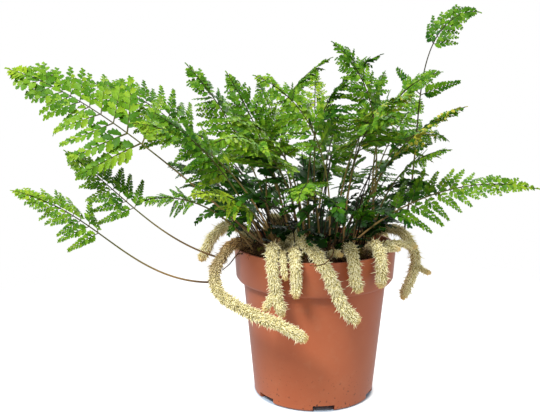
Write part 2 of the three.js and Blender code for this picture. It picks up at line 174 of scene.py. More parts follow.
# %% [markdown]
# A product photograph like this one is lit from all sides, so that hardly a shadow is left. A pale
# world does much of that. One large soft lamp from the upper left gives the leaves a lit and a dark side,
# a weaker one from the right keeps the dark side open, and one from behind lights the leaves' rims. What
# the camera sees past the plant is plain white: the world answers the camera's own rays with white, and
# all other rays with its softer light. The standard view keeps white paper white.

# %% Light
LAMPS = {
    "key_lamp": {"at": (-0.45, -0.75, 1.15), "size": 0.4, "watts": 21},
    "fill_lamp": {"at": (0.9, -0.6, 0.5), "size": 0.9, "watts": 2},
    "back_lamp": {"at": (0.2, 0.9, 0.9), "size": 0.7, "watts": 8},
}
LIT_POINT = Vector((0, 0, 0.12))
ROOM_STRENGTH = 0.5

for name, lamp in LAMPS.items():
    light = bpy.data.lights.new(name, "AREA")
    light.energy = lamp["watts"]
    light.size = lamp["size"]
    holder = bpy.data.objects.new(name, light)
    holder.location = lamp["at"]
    holder.rotation_euler = (LIT_POINT - holder.location).to_track_quat("-Z", "Y").to_euler()
    scene.collection.objects.link(holder)

world = bpy.data.worlds.new("white_room")
world.use_nodes = True
room = world.node_tree.nodes["Background"]
feed(world, room.inputs["Color"], WHITE)
feed(world, room.inputs["Strength"], ROOM_STRENGTH)
backdrop = add_node(world, "Background", {"Color": WHITE})
by_camera = add_node(world, "LightPath", output="Is Camera Ray")
seen = mixed_shaders(world, by_camera, room.outputs[0], backdrop)
feed(world, world.node_tree.nodes["World Output"].inputs["Surface"], seen)
scene.world = world
scene.view_settings.view_transform = "Standard"
print("lamps:", len(LAMPS))

# %% [markdown]
# Every finished piece is put down in the same way. Its mesh is scaled to metres, its object stays at the
# origin, its smooth shading breaks at sharp edges, and it takes the place of its solid. A plant in its
# pot has no joints, so every piece rides on the one body, root.

# %% Putting pieces down
MM = 0.001
SHARP_DEGREES = 42

counts = {}


def mesh_of(shape, name):
    """Ends the work on a bmesh and keeps it as a mesh."""
    mesh = bpy.data.meshes.new(name)
    shape.to_mesh(mesh)
    shape.free()
    return mesh


def joined(meshes, name):
    """Several meshes as one."""
    shape = bmesh.new()
    for mesh in meshes:
        shape.from_mesh(mesh)
    return mesh_of(shape, name)


def put_down(mesh, name, slot, materials, *nodes):
    """Makes a mesh in millimetres a piece of the object, in place of its solids."""
    mesh.transform(Matrix.Scale(MM, 4))
    for material in materials:
        mesh.materials.append(material)
    mesh.shade_smooth()
    mesh.set_sharp_from_angle(angle=radians(SHARP_DEGREES))
    piece = bpy.data.objects.new(name, mesh)
    scene.collection.objects.link(piece)
    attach(piece, "root")
    if nodes:
        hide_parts(*nodes)
    counts[name] = sum(len(face.vertices) - 2 for face in mesh.polygons)
    return piece


def triangles(start):
    """How many triangles the pieces have whose names start with these letters."""
    return sum(count for name, count in counts.items() if name.startswith(start))


print("pieces are scaled by", MM)

# %% [markdown]
# The floor is white paper that a lamp under it would make glow. Near the pot it takes a faint shadow, and
# further out it is as white as the world behind it, so that no horizon shows. Both changes follow the
# distance from the pot on the paper itself. Right under the pot the paper is in plain shade.

# %% Floor
FLOOR_RADIUS = 3.0
CONTACT_RING = (0.0435, 0.0475)
SHADOW_RING = (0.14, 0.42)
PAPER_LIGHT = 0.6
PAPER = {
    "Base Color": (0.6, 0.6, 0.6, 1),
    "Roughness": 0.9,
    "Specular IOR Level": 0.1,
    "Emission Color": WHITE,
    "Emission Strength": 0.72,
}
CONTACT_SHADE = paint(178, 200, 220)

shape = bmesh.new()
bmesh.ops.create_circle(shape, cap_ends=True, segments=64, radius=FLOOR_RADIUS)
floor = bpy.data.objects.new("floor", mesh_of(shape, "floor"))
scene.collection.objects.link(floor)
paper, shader, place = start_material("white_paper", PAPER)
away = add_node(paper, "VectorMath", {0: place}, "Value", operation="LENGTH")
fade = mapped(paper, away, *SHADOW_RING, curve="SMOOTHSTEP")
glow = add_node(paper, "Emission", {"Color": WHITE, "Strength": 1.0})
seen = mixed_shaders(paper, fade, shader.outputs["BSDF"], glow)
dim = add_node(paper, "Emission", {"Color": WHITE, "Strength": PAPER_LIGHT})
both = mixed_shaders(paper, add_node(paper, "LightPath", output="Is Camera Ray"), dim, seen)
past_contact = mapped(paper, away, *CONTACT_RING, curve="SMOOTHSTEP")
shade = add_node(paper, "BsdfDiffuse", {"Color": CONTACT_SHADE})
whole = mixed_shaders(paper, past_contact, shade, both)
feed(paper, paper.node_tree.nodes["Material Output"].inputs["Surface"], whole)
floor.data.materials.append(paper)
print("floor radius", FLOOR_RADIUS, "m")

# %% [markdown]
# The pot is one moulding of terracotta-coloured plastic: a tapered wall, a stepped collar with a rim,
# and a foot with a raised drain ring that opens outwards in six notches, with a drain hole in each. The
# half section is drawn once and spun around the axis. The notches and holes are cut with boxes and rods,
# as a mould's pins would leave them, and a narrow bevel rounds what a mould can't make sharp.

# %% Sizes of the pot
POT_HEIGHT = 114
RIM_RADIUS = 60
RIM_WIDTH = 1.7
COLLAR_HEIGHT = 26
COLLAR_FOOT = POT_HEIGHT - COLLAR_HEIGHT
COLLAR_FOOT_RADIUS = 58.6
BODY_TOP_RADIUS = 53.2
BASE_RADIUS = 45.2
WALL = 1.5
FLOOR_TOP = 6.4
DRAIN_DEPTH = 4.6
PAD_RADIUS = 24
FOOT_RING_RADIUS = 38
EDGE_ROUND = 1.4
STEP_THICKNESS = 4
NOTCH_WIDTH = 16
NOTCH_COUNT = 6
FIRST_NOTCH_DEGREES = -80
NOTCH_REACH = 14
DRAIN_HOLE_RADIUS = 3.2
POT_STEPS = 144
POT_SECTION = [
    (0, 0),
    (PAD_RADIUS, 0),
    (PAD_RADIUS + EDGE_ROUND, DRAIN_DEPTH),
    (FOOT_RING_RADIUS - EDGE_ROUND, DRAIN_DEPTH),
    (FOOT_RING_RADIUS, 0),
    (BASE_RADIUS - EDGE_ROUND, 0),
    (BASE_RADIUS, EDGE_ROUND),
    (BASE_RADIUS + EDGE_ROUND / 4, DRAIN_DEPTH + EDGE_ROUND),
    (BODY_TOP_RADIUS, COLLAR_FOOT),
    (COLLAR_FOOT_RADIUS - EDGE_ROUND, COLLAR_FOOT + EDGE_ROUND / 2),
    (COLLAR_FOOT_RADIUS, COLLAR_FOOT + 2 * EDGE_ROUND),
    (RIM_RADIUS, POT_HEIGHT),
    (RIM_RADIUS - RIM_WIDTH, POT_HEIGHT),
    (COLLAR_FOOT_RADIUS - WALL, COLLAR_FOOT + STEP_THICKNESS),
    (BODY_TOP_RADIUS - WALL, COLLAR_FOOT),
    (BASE_RADIUS - WALL, FLOOR_TOP),
    (0, FLOOR_TOP),
]
print("the pot's section has", len(POT_SECTION), "corners")


# %% Spin the pot
def spun(section, steps):
    """A closed body turned around the Z axis from the corners of its half section."""
    shape = bmesh.new()
    corners = [shape.verts.new((radius, 0, height)) for radius, height in section]
    sides = [shape.edges.new(pair) for pair in zip(corners, corners[1:])]
    turn = {"cent": (0, 0, 0), "axis": (0, 0, 1), "angle": 2 * pi, "steps": steps, "use_merge": True}
    bmesh.ops.spin(shape, geom=corners + sides, **turn)
    bmesh.ops.remove_doubles(shape, verts=shape.verts, dist=0.001)
    bmesh.ops.recalc_face_normals(shape, faces=shape.faces)
    return shape


pot = bpy.data.objects.new("pot_shell", mesh_of(spun(POT_SECTION, POT_STEPS), "pot_shell"))
scene.collection.objects.link(pot)
print("spun pot:", len(pot.data.polygons), "faces")

# %% Cut the notches and drain holes
MOULD_EDGE = 0.35
MOULD_EDGE_DEGREES = 35

shape = bmesh.new()
for number in range(NOTCH_COUNT):
    turn = Matrix.Rotation(radians(FIRST_NOTCH_DEGREES + 360 * number / NOTCH_COUNT), 4, "Z")
    middle = FOOT_RING_RADIUS - EDGE_ROUND + NOTCH_REACH / 2
    size = Matrix.Diagonal((NOTCH_REACH, NOTCH_WIDTH, 2 * DRAIN_DEPTH, 1))
    bmesh.ops.create_cube(shape, size=1, matrix=turn @ Matrix.Translation((middle, 0, 0)) @ size)
    hole = turn @ Matrix.Translation(((PAD_RADIUS + FOOT_RING_RADIUS) / 2, 0, 0))
    pin = {"segments": 24, "radius1": DRAIN_HOLE_RADIUS, "radius2": DRAIN_HOLE_RADIUS}
    bmesh.ops.create_cone(shape, cap_ends=True, depth=4 * FLOOR_TOP, matrix=hole, **pin)
pins = bpy.data.objects.new("mould_pins", mesh_of(shape, "mould_pins"))
scene.collection.objects.link(pins)
cut = pot.modifiers.new("cut", "BOOLEAN")
cut.object = pins
cut.operation = "DIFFERENCE"
cut.solver = "EXACT"
edge = pot.modifiers.new("edge", "BEVEL")
edge.width = MOULD_EDGE
edge.segments = 2
edge.limit_method = "ANGLE"
edge.angle_limit = radians(MOULD_EDGE_DEGREES)
bpy.context.view_layer.update()
pot_mesh = bpy.data.meshes.new_from_object(pot.evaluated_get(bpy.context.evaluated_depsgraph_get()))
for tool in (pot, pins):
    bpy.data.objects.remove(tool)
print("cut pot:", len(pot_mesh.polygons), "faces")

# %% [markdown]
# The plastic is a satin terracotta red. It is never one flat colour: the moulding is a touch paler in
# broad clouds, dust and dried water dull it in places, and crumbs of peat and splashes stick near its
# foot. The gloss changes with the dust, and a very fine grain breaks the highlight. A little bluish sheen
# pales the pot towards its sides, where one looks along its wall.

# %% Terracotta plastic
POT_CLAY = paint(183, 96, 57)
POT_PALE = paint(190, 105, 65)
POT_DUST = paint(192, 126, 90)
POT_SOIL = paint(70, 40, 26)
PLASTIC = {
    "Roughness": 0.45,
    "IOR": 1.5,
    "Sheen Weight": 0.16,
    "Sheen Roughness": 0.4,
    "Sheen Tint": (0.7, 0.82, 1.0, 1),
}
PLASTIC_ROUGHNESS = (0.38, 0.6)
SPLASH_HEIGHT = 0.035
SPLASH_SHARE = 0.95

plastic, shader, place = start_material("terracotta_plastic", PLASTIC)
colour = ramp(plastic, noise_of(plastic, place, 22, 2), [(0.35, POT_CLAY), (0.7, POT_PALE)])
dust = between(plastic, noise_of(plastic, place, 160, 6, 0.7), 0.52, 0.78)
colour = mixed(plastic, math_of(plastic, "MULTIPLY", dust, 0.35), colour, POT_DUST)
height = add_node(plastic, "SeparateXYZ", {0: place}, "Z")
low = mapped(plastic, height, SPLASH_HEIGHT, 0, 0, SPLASH_SHARE)
specks = between(plastic, noise_of(plastic, place, 480, 3, 0.6), 0.63, 0.67)
colour = mixed(plastic, math_of(plastic, "MULTIPLY", specks, low), colour, POT_SOIL)
feed(plastic, shader.inputs["Base Color"], colour)
feed(plastic, shader.inputs["Roughness"], mapped(plastic, dust, 0, 1, *PLASTIC_ROUGHNESS))
bump(plastic, shader, noise_of(plastic, place, 1400, 2), 0.00006, 0.5)
put_down(pot_mesh, "pot_fine", "pot_plastic", [plastic], "pot")
print("pot triangles:", triangles("pot_fine"))

# %% [markdown]
# The potting mix fills the pot to just under its rim. It is dark, coarse peat with a low crown and lumps,
# and a shoulder at the front left where it is pushed up. Its surface is the same formula as the solid's,
# with two sizes of noise on top, and with a bank of litter against the rim in front. The section is spun
# with many rings so that the noise has points to move.

# %% Sizes of the potting mix
SEAT_GAP = 0.4
MIX_EDGE_HEIGHT = 108
MIX_CROWN = 6
MIX_LUMPS = 1.2
MIX_SHOULDER = 5
MIX_SHOULDER_AT = (-40, -30)
MIX_SHOULDER_WIDTH = 16
MIX_RINGS = 46
MIX_STEPS = 132
MIX_TOP = POT_HEIGHT
CLOD_SIZE = 7.0
CLOD_HEIGHT = 1.5
CRUMB_SIZE = 1.7
CRUMB_HEIGHT = 0.8
BANK_HEIGHT = 6.5
BANK_RADIUS = 53
BANK_WIDTH = 9
BANK_DEGREES = 245
BANK_SPREAD = 62


def mix_height(x, y):
    """Height of the potting mix in millimetres, without its noise."""
    out = hypot(x, y) / RIM_RADIUS
    lumps = sin(x / 4.8 + 1.3) * cos(y / 5.9 + 0.4) + 0.6 * sin(x / 2.7 - y / 3.4)
    away = ((x - MIX_SHOULDER_AT[0]) ** 2 + (y - MIX_SHOULDER_AT[1]) ** 2) / MIX_SHOULDER_WIDTH**2
    shoulder = MIX_SHOULDER * exp(-away)
    return MIX_EDGE_HEIGHT + MIX_CROWN * (1 - out * out) + MIX_LUMPS * lumps * (1 - 0.6 * out) + shoulder


def bank_height(x, y):
    """How far the bank of litter stands above the mix. It fades out across and along the rim."""
    across = (hypot(x, y) - BANK_RADIUS) / BANK_WIDTH
    along = (degrees(atan2(y, x)) % 360 - BANK_DEGREES) / BANK_SPREAD
    return BANK_HEIGHT * max(0, 1 - across * across) * max(0, 1 - along * along)


def rough_height(x, y):
    """Height of the potting mix with its bank, clods and crumbs."""
    clods = noise.noise(Vector((x, y, 0)) / CLOD_SIZE)
    crumbs = noise.noise(Vector((x, y, 9)) / CRUMB_SIZE)
    return mix_height(x, y) + bank_height(x, y) + CLOD_HEIGHT * clods + CRUMB_HEIGHT * crumbs


print("mix height in the middle:", round(mix_height(0, 0), 1))

# %% Spin the potting mix and raise its surface
edge_radius = COLLAR_FOOT_RADIUS - WALL - SEAT_GAP
mix_section = [
    (0, FLOOR_TOP + SEAT_GAP),
    (BASE_RADIUS - WALL - SEAT_GAP, FLOOR_TOP + SEAT_GAP),
    (BODY_TOP_RADIUS - WALL - SEAT_GAP, COLLAR_FOOT),
    (edge_radius, COLLAR_FOOT + STEP_THICKNESS + SEAT_GAP),
]
mix_section += [(edge_radius * (1 - ring / MIX_RINGS), MIX_TOP) for ring in range(MIX_RINGS + 1)]
shape = spun(mix_section, MIX_STEPS)
for vert in shape.verts:
    if vert.co.z > MIX_TOP - WALL:
        vert.co.z = rough_height(vert.co.x, vert.co.y)
mix_mesh = mesh_of(shape, "potting_mix_fine")
print("potting mix:", len(mix_mesh.polygons), "faces")

# %% [markdown]
# Loose bits lie on the mix: crumbs of peat, and chips of bark. Each is a twenty-sided ball that is
# squashed, turned and dented by a seeded random draw, and sunk a little into the surface. In front,
# where the rhizomes have pushed the mix up, more of them are banked up against the rim.

# %% Crumbs
CRUMB_COUNT = 900
CRUMB_REACH = 55
CRUMB_SIZES = (0.5, 1.1)
LUMP_SIZE = 1.3
LUMP_RARITY = 6
BANK_CRUMBS = 320
BANK_CRUMB_SIZES = (0.6, 1.5)
BANK_RING = (48, 57.5)
BANK_TURNS = (195, 298)
DENT = 0.25
rng = np.random.default_rng(7)


def crumb(shape, out, turn, lift, size):
    """Adds one dented crumb to a bmesh, at a distance and direction from the pot's axis."""
    x, y = out * cos(turn), out * sin(turn)
    tumble = Matrix.Rotation(rng.uniform(0, 2 * pi), 4, rng.normal(size=3))
    stretch = Matrix.Diagonal((*rng.uniform(0.5, 1.4, 3), 1))
    place = Matrix.Translation((x, y, rough_height(x, y) + lift)) @ tumble @ stretch
    made = bmesh.ops.create_icosphere(shape, subdivisions=1, radius=size, matrix=place)
    for vert in made["verts"]:
        vert.co += Vector(rng.uniform(-DENT, DENT, 3)) * size


shape = bmesh.new()
shape.from_mesh(mix_mesh)
for number in range(CRUMB_COUNT):
    out = CRUMB_REACH * sqrt(rng.random())
    turn = rng.uniform(0, 2 * pi)
    size = rng.uniform(*CRUMB_SIZES) + LUMP_SIZE * rng.random() ** LUMP_RARITY
    crumb(shape, out, turn, 0.2 * size, size)
for number in range(BANK_CRUMBS):
    out = rng.uniform(*BANK_RING)
    turn = radians(rng.uniform(*BANK_TURNS))
    crumb(shape, out, turn, rng.uniform(0, 1.2), rng.uniform(*BANK_CRUMB_SIZES))
shape.to_mesh(mix_mesh)
shape.free()
print("crumbs:", CRUMB_COUNT + BANK_CRUMBS)

# %% [markdown]
# Damp peat is nearly black in its hollows and a dull reddish brown on its crumbs. A noise of the size of
# the crumbs picks between the two, and a few paler fibres are let in where a stretched noise peaks. The
# surface is as rough as it gets.

# %% Peat
PEAT_DARK = paint(26, 17, 12)
PEAT_BROWN = paint(86, 62, 38)
PEAT_FIBRE = paint(146, 114, 72)

peat, shader, place = start_material("peat", {"Roughness": 1.0, "Specular IOR Level": 0.15})
grains = noise_of(peat, place, 420, 5, 0.65)
colour = ramp(peat, grains, [(0.34, PEAT_DARK), (0.62, PEAT_BROWN)])
turned = {"Vector": place, "Scale": (900, 160, 500), "Rotation": (0.3, 0.5, 0.8)}
squeezed = add_node(peat, "Mapping", turned)
fibre_share = between(peat, noise_of(peat, squeezed, 1.0, 2), 0.66, 0.74)
feed(peat, shader.inputs["Base Color"], mixed(peat, fibre_share, colour, PEAT_FIBRE))
bump(peat, shader, grains, 0.0008, 0.8)
put_down(mix_mesh, "potting_mix_fine", "potting_mix", [peat], "potting_mix")
print("potting mix triangles:", triangles("potting_mix_fine"))

# %% [markdown]
# The rhizomes give the fern its name. They are stems covered in long pale scales that lie towards the tip
# like the fur on a rabbit's foot. The fur is plain mesh, which every program can show. Each stem starts
# as a straight cylinder with small faces. Poke puts a point in the middle of every face, and each point
# is pulled out and towards the tip, so that it becomes a tuft. Then the stem is bent.

# %% Routes of the rhizomes
RHIZOMES = {
    "front_left_long": [(4, [(-26, -40, 104), (-28, -48, 119), (-28.5, -57, 122), (-28, -64, 112),
        (-26.5, -63, 100), (-24, -63, 88), (-21, -63, 77)]),
        (2.9, [(-26, -62, 97), (-30, -64, 88), (-34, -64, 81)])],
    "front_thin": [(2.3, [(-21, -44, 104), (-21.5, -52, 117), (-21.5, -59, 119), (-20.5, -64, 112),
        (-19, -64, 103)])],
    "front_short": [(3.7, [(-15, -45, 104), (-14.5, -51, 117), (-13.5, -58, 121), (-12.5, -65, 113),
        (-12, -65, 102), (-12, -65, 91)])],
    "front_diagonal": [(4.3, [(-26, -20, 105), (-20, -29, 121), (-13, -39, 126), (-6, -49, 124),
        (0, -58, 121), (5, -65.5, 116), (10, -69, 108), (14, -67, 98), (18, -66, 89), (24, -64, 80),
        (31, -61, 74)])],
    "front_right_inner": [(4.1, [(21, -34, 104), (23, -43, 118), (24.5, -52, 122), (26.5, -60.5, 114),
        (27.5, -60.5, 103), (31, -59, 94)])],
    "front_right_outer": [(4.1, [(36, -25, 104), (39, -33, 118), (42.5, -41, 122), (45.5, -47.5, 114),
        (46, -48, 103), (45.5, -48, 94)])],
    "right_thin": [(2.5, [(40, -18, 106), (48, -21, 117), (57, -23, 120), (66, -24, 119),
        (73, -24, 118)])],
    "right_arch": [(3.8, [(24, 6, 106), (37, 4, 119), (52, 2, 125), (64, 1, 123), (71, 0, 114),
        (75, -1, 103), (73, -2, 92), (69, -2, 81), (66, -2, 72)]),
        (2.2, [(73, -1, 104), (79, -3, 96), (86, -5, 93)])],
    "left_arch": [(4.2, [(-42, 10, 104), (-53, 14, 119), (-65, 18, 123), (-74, 20, 118), (-81, 20, 110),
        (-85, 19, 101), (-89, 18, 94)])],
    "left_loop": [(4.1, [(-38, -22, 106), (-48, -27, 119), (-58, -30, 119.5), (-66, -33, 110),
        (-70, -37, 102), (-69.5, -43, 95), (-66, -51, 90), (-58, -59, 86), (-48, -66, 83),
        (-37, -72, 80), (-25, -76, 77), (-14, -78, 72), (-4, -77, 66)])],
    "back_middle": [(4.1, [(8, 34, 104), (12, 45, 118), (15, 55, 122), (17, 64, 113), (17, 66, 101),
        (14, 67, 90)])],
    "back_left": [(4, [(-20, 30, 104), (-26, 40, 118), (-33, 50, 122), (-38, 57, 113), (-40, 58, 100),
        (-38, 60, 87), (-33, 62, 76)])],
    "back_right": [(3.8, [(32, 28, 104), (39, 35, 118), (47, 41, 122), (54, 46, 112), (58, 48, 100),
        (63, 47, 90)])],
    "creeping_middle": [(3.4, [(-30, 4, 106), (-22, 1, 115.5), (-11, -3, 117), (1, -2, 116.5),
        (9, 4, 107)])],
}
print("rhizomes:", len(RHIZOMES))


# %% Smooth route through the points
ROUTE_SAMPLES = 24


def smooth_route(points):
    """A Catmull-Rom curve through the points, as many samples with their distances from the start."""
    points = np.array(points, float)
    padded = np.vstack([2 * points[0] - points[1], points, 2 * points[-1] - points[-2]])
    share = np.linspace(0, 1, ROUTE_SAMPLES, endpoint=False)[:, None]
    spans = []
    for a, b, c, d in zip(padded, padded[1:], padded[2:], padded[3:]):
        bend = 2 * a - 5 * b + 4 * c - d
        twist = 3 * b - a - 3 * c + d
        spans.append(0.5 * (2 * b + (c - a) * share + bend * share**2 + twist * share**3))
    samples = np.vstack(spans + [points[-1:]])
    distances = np.concatenate([[0], np.cumsum(np.linalg.norm(np.diff(samples, axis=0), axis=1))])
    return samples, distances


def carried_axes(samples):
    """Two axes across the curve at each sample, carried along it without twist."""
    forward = np.gradient(samples, axis=0)
    forward /= np.linalg.norm(forward, axis=1)[:, None]
    side = np.cross(forward[0], (0.0, 0.0, 1.0))
    if np.linalg.norm(side) < 0.1:
        side = np.cross(forward[0], (0.0, 1.0, 0.0))
    sides = []
    for direction in forward:
        side = side - direction * side.dot(direction)
        side = side / np.linalg.norm(side)
        sides.append(side)
    sides = np.array(sides)
    return forward, sides, np.cross(forward, sides)


samples, distances = smooth_route(RHIZOMES["left_loop"][0][1])
print("the left loop is", round(distances[-1]), "mm long")

# %% Bend a straight mesh along a route
def coordinates(mesh):
    """A mesh's points as rows of a numpy array."""
    values = np.empty(len(mesh.vertices) * 3, np.float32)
    mesh.vertices.foreach_get("co", values)
    return values.reshape(-1, 3).astype(float)


def bend_along(mesh, samples, distances):
    """Moves a mesh that lies along X onto a curve. Y and Z become the axes across the curve."""
    straight = coordinates(mesh)

    def on_curve(values):
        """The curve's values at the distances of the mesh's points."""
        return np.stack([np.interp(straight[:, 0], distances, column) for column in values.T], axis=1)

    beyond = straight[:, 0] - np.clip(straight[:, 0], 0, distances[-1])
    bent = on_curve(samples)
    for axis, weight in zip(carried_axes(samples), (beyond, straight[:, 1], straight[:, 2])):
        turned = on_curve(axis)
        bent += turned / np.linalg.norm(turned, axis=1)[:, None] * weight[:, None]
    mesh.vertices.foreach_set("co", bent.astype(np.float32).ravel())


# %% Rod
def rod(length, start_radius, end_radius, sides, cuts):
    """A bmesh of a tapered rod along X, cut across so that it can bend."""
    shape = bmesh.new()
    lie_down = Matrix.Translation((length / 2, 0, 0)) @ Matrix.Rotation(pi / 2, 4, "Y")
    ends = {"segments": sides, "radius1": start_radius, "radius2": end_radius, "depth": length}
    bmesh.ops.create_cone(shape, cap_ends=True, matrix=lie_down, **ends)
    long_edges = [edge for edge in shape.edges if edge.calc_length() > length / 2]
    bmesh.ops.subdivide_edges(shape, edges=long_edges, cuts=cuts, use_grid_fill=True)
    return shape


trial = rod(10, 1, 1, 6, 4)
print("a rod with 4 cuts has", len(trial.faces), "faces")
trial.free()

# %% A furry stem
# A tuft stands up by its lift and leans towards the tip, both as shares of its length.
FUR_PITCH = 0.76
LYING_FUR = {"lift": 0.55, "lean": 0.8, "length": 1.8}
STRAY_FUR = {"lift": 0.85, "lean": 0.5, "length": 2.7}
STRAY_SHARE = 0.22
FUR_SPREAD = (0.2, 0.25, 0.32, 0.32)
FUR_SHARES = (0.45, 1.2)
FUR_RADIUS = 4
BUD_CLIP = 0.6
CORE_SHARE = 0.78
KNUCKLE = 0.07
KNUCKLE_SPACING = 9.0
TIP_SHARE = 2.2
WORN_LENGTH = 30
BUD_LENGTH = 6
fur_rng = np.random.default_rng(21)


def stem_radius(radius, at, length):
    """Radius of a stem's core at a distance: it swells at its knuckles and ends in a rounded tip."""
    core = radius * CORE_SHARE * (1 + KNUCKLE * sin(at * 2 * pi / KNUCKLE_SPACING + radius))
    left = max(0.0, length - at)
    tip = TIP_SHARE * radius
    return core * (sqrt(1 - (1 - left / tip) ** 2) if left < tip else 1)


def furry_stem(radius, route, worn_length=WORN_LENGTH):
    """One furry stem as a mesh, bent along its route. Its fur is old near its start, young at its bud."""
    samples, distances = smooth_route(route)
    length = distances[-1]
    sides = ceil(2 * pi * radius * CORE_SHARE / FUR_PITCH)
    rows = ceil(length / FUR_PITCH)
    shape = rod(length, 1, 1, sides, rows - 1)
    tuft, worn, bud = [shape.verts.layers.float.new(name) for name in ("tuft", "worn", "bud")]
    for vert in shape.verts:
        size = max(0.05, stem_radius(radius, vert.co.x, length))
        vert.co.y *= size
        vert.co.z *= size
        vert[worn] = max(0, 1 - vert.co.x / worn_length)
        vert[bud] = max(0, 1 - (length - vert.co.x) / BUD_LENGTH)
    walls = [face for face in shape.faces if len(face.verts) == 4]
    middles = bmesh.ops.poke(shape, faces=walls)["verts"]
    for vert in middles:
        outward = Vector((0, vert.co.y, vert.co.z)).normalized()
        kind = STRAY_FUR if fur_rng.random() < STRAY_SHARE else LYING_FUR
        lift, lean, aside, up = fur_rng.normal((kind["lift"], kind["lean"], 0, 0), FUR_SPREAD)
        reach = kind["length"] * sqrt(radius / FUR_RADIUS) * fur_rng.uniform(*FUR_SHARES)
        vert.co += reach * (1 - BUD_CLIP * vert[bud]) * (outward * lift + Vector((lean, aside, up)))
        vert[tuft] = fur_rng.uniform(0.4, 1)
    mesh = mesh_of(shape, "furry_stem")
    bend_along(mesh, samples, distances)
    return mesh


stem = furry_stem(*RHIZOMES["front_thin"][0])
print("one thin stem:", len(stem.polygons), "faces")

# %% [markdown]
# The fur is cream at the tips of the tufts and tan where they start, because light doesn't reach that
# far in. The point attribute "tuft" is 0 on the stem and 1 at a tip, so it can drive the colour. The fur
# is brown where a stem is old, near its start, and "worn" says how much. A broad noise breaks the change
# up. The growing end is a smooth yellowish "bud". Sheen gives the soft edge that fur has.

# %% Fur
FUR_ROOT = paint(100, 88, 36)
FUR_GOLD = paint(196, 180, 100)
FUR_CREAM = paint(245, 237, 186)
FUR_TIP = paint(255, 249, 216)
FUR_OLD_ROOT = paint(78, 52, 26)
FUR_OLD_GOLD = paint(152, 118, 64)
FUR_OLD_TIP = paint(216, 182, 122)
FUR_BUD = paint(240, 204, 120)

FUR = {"Roughness": 0.9, "Specular IOR Level": 0.2, "Sheen Weight": 0.25, "Sheen Roughness": 0.5}
fur, shader, place = start_material("rhizome_fur", FUR)
tuft = attribute_of(fur, "tuft")
young = ramp(fur, tuft, [(0.02, FUR_ROOT), (0.12, FUR_GOLD), (0.28, FUR_CREAM), (0.7, FUR_TIP)])
old = ramp(fur, tuft, [(0.05, FUR_OLD_ROOT), (0.3, FUR_OLD_GOLD), (0.7, FUR_OLD_TIP)])
patches = math_of(fur, "MULTIPLY", noise_of(fur, place, 60, 3), 0.7)
age = between(fur, math_of(fur, "ADD", attribute_of(fur, "worn"), patches), 0.46, 0.95)
bud = math_of(fur, "MULTIPLY", attribute_of(fur, "bud"), 0.8)
colour = mixed(fur, bud, mixed(fur, age, young, old), FUR_BUD)
feed(fur, shader.inputs["Base Color"], colour)
print("fur material has", len(fur.node_tree.nodes), "nodes")

# %% Put the rhizomes down
WORN_LENGTHS = {
    "left_loop": 78,
    "right_arch": 60,
    "left_arch": 10,
    "front_diagonal": 18,
    "creeping_middle": 90,
    "right_thin": 20,
}
SHOOT_WORN_LENGTH = 4


def put_fur_down(stems, name, *nodes):
    """Makes furry stems one piece. Its shading stays smooth throughout, as fur has no sharp edges."""
    piece = put_down(joined(stems, name), name, "rhizome_fur", [fur], *nodes)
    piece.data.shade_smooth()


for name, (main, *shoots) in RHIZOMES.items():
    stems = [furry_stem(*main, WORN_LENGTHS.get(name, WORN_LENGTH))]
    stems += [furry_stem(*shoot, SHOOT_WORN_LENGTH) for shoot in shoots]
    put_fur_down(stems, "fur_" + name, "rhizome_" + name)
print("rhizome triangles:", triangles("fur_"))

# %% [markdown]
# Young rhizomes that only just show are too small to be solids of their own: three furry stubs that lie
# on the mix between the long ones.

# %% Stubs
STUBS = [
    (2.2, [(8, -42, 110), (11, -48, 118), (15, -53, 119.5), (19, -56, 118.5)]),
    (2.6, [(42, -30, 110), (47, -34, 118), (54, -35, 119), (60, -34, 118)]),
    (2.2, [(52, -12, 110), (56, -14, 117), (61, -15, 118), (66, -15, 117)]),
]
put_fur_down([furry_stem(*stub, WORN_LENGTH / 3) for stub in STUBS], "rhizome_stubs")
print("stubs:", len(STUBS))

# %% [markdown]
# Litter covers the mix up to the rim: clods, fine dead roots that lie crosswise and hang over the rim at
# the front left, and cushions of moss. A dead root is a thin rod that is bent along a short random route
# over the surface. A cushion is half sunk, and its points are pulled out like the fur's, but straight.

# %% Dead roots
ROOT_COUNT = 520
ROOT_RING = (30, 57)
ROOT_RADII = (0.14, 0.34)
ROOT_END_RADIUS = 0.1
ROOT_LENGTHS = (5, 13)
HANGING_TURNS = (3.3, 4.3)
HANGING_SHARE = 0.7
HANGING_RING = (50, 57)
HANGING_LENGTHS = (6, 11)
HANGING_SAG = 1.6
RIM_SIDE = 48
RIM_ROOT_LENGTH = 7
LONG_ROOTS = (
    [(-50, -44, 116), (-53, -50, 117), (-58, -53, 111), (-63, -55, 107)],
    [(11, -60, 125), (12.5, -68, 127), (12, -73, 124), (8, -75, 119), (2, -75, 116.5), (-3, -72, 116)],
)
litter_rng = np.random.default_rng(17)


def lying_route(x, y, heading, length):
    """A crooked route over the mix. Past the rim it bends down."""
    spots = []
    for number in range(5):
        out = hypot(x, y)
        ground = rough_height(x, y) if out < RIM_RADIUS - 4 else POT_HEIGHT + 1
        lowest = POT_HEIGHT + 0.5 if out > 54 else 0
        sag = HANGING_SAG * max(0, out - RIM_RADIUS - 1)
        spots.append((x, y, max(ground, lowest) + litter_rng.uniform(0.1, 1.8) - sag))
        heading += litter_rng.normal(0, 0.5)
        x += cos(heading) * length / 4
        y += sin(heading) * length / 4
    return spots


def root(route, start_radius, end_radius, sides, cuts):
    """A thin rod as a mesh, bent along a route."""
    samples, distances = smooth_route(route)
    mesh = mesh_of(rod(distances[-1], start_radius, end_radius, sides, cuts), "root")
    bend_along(mesh, samples, distances)
    return mesh


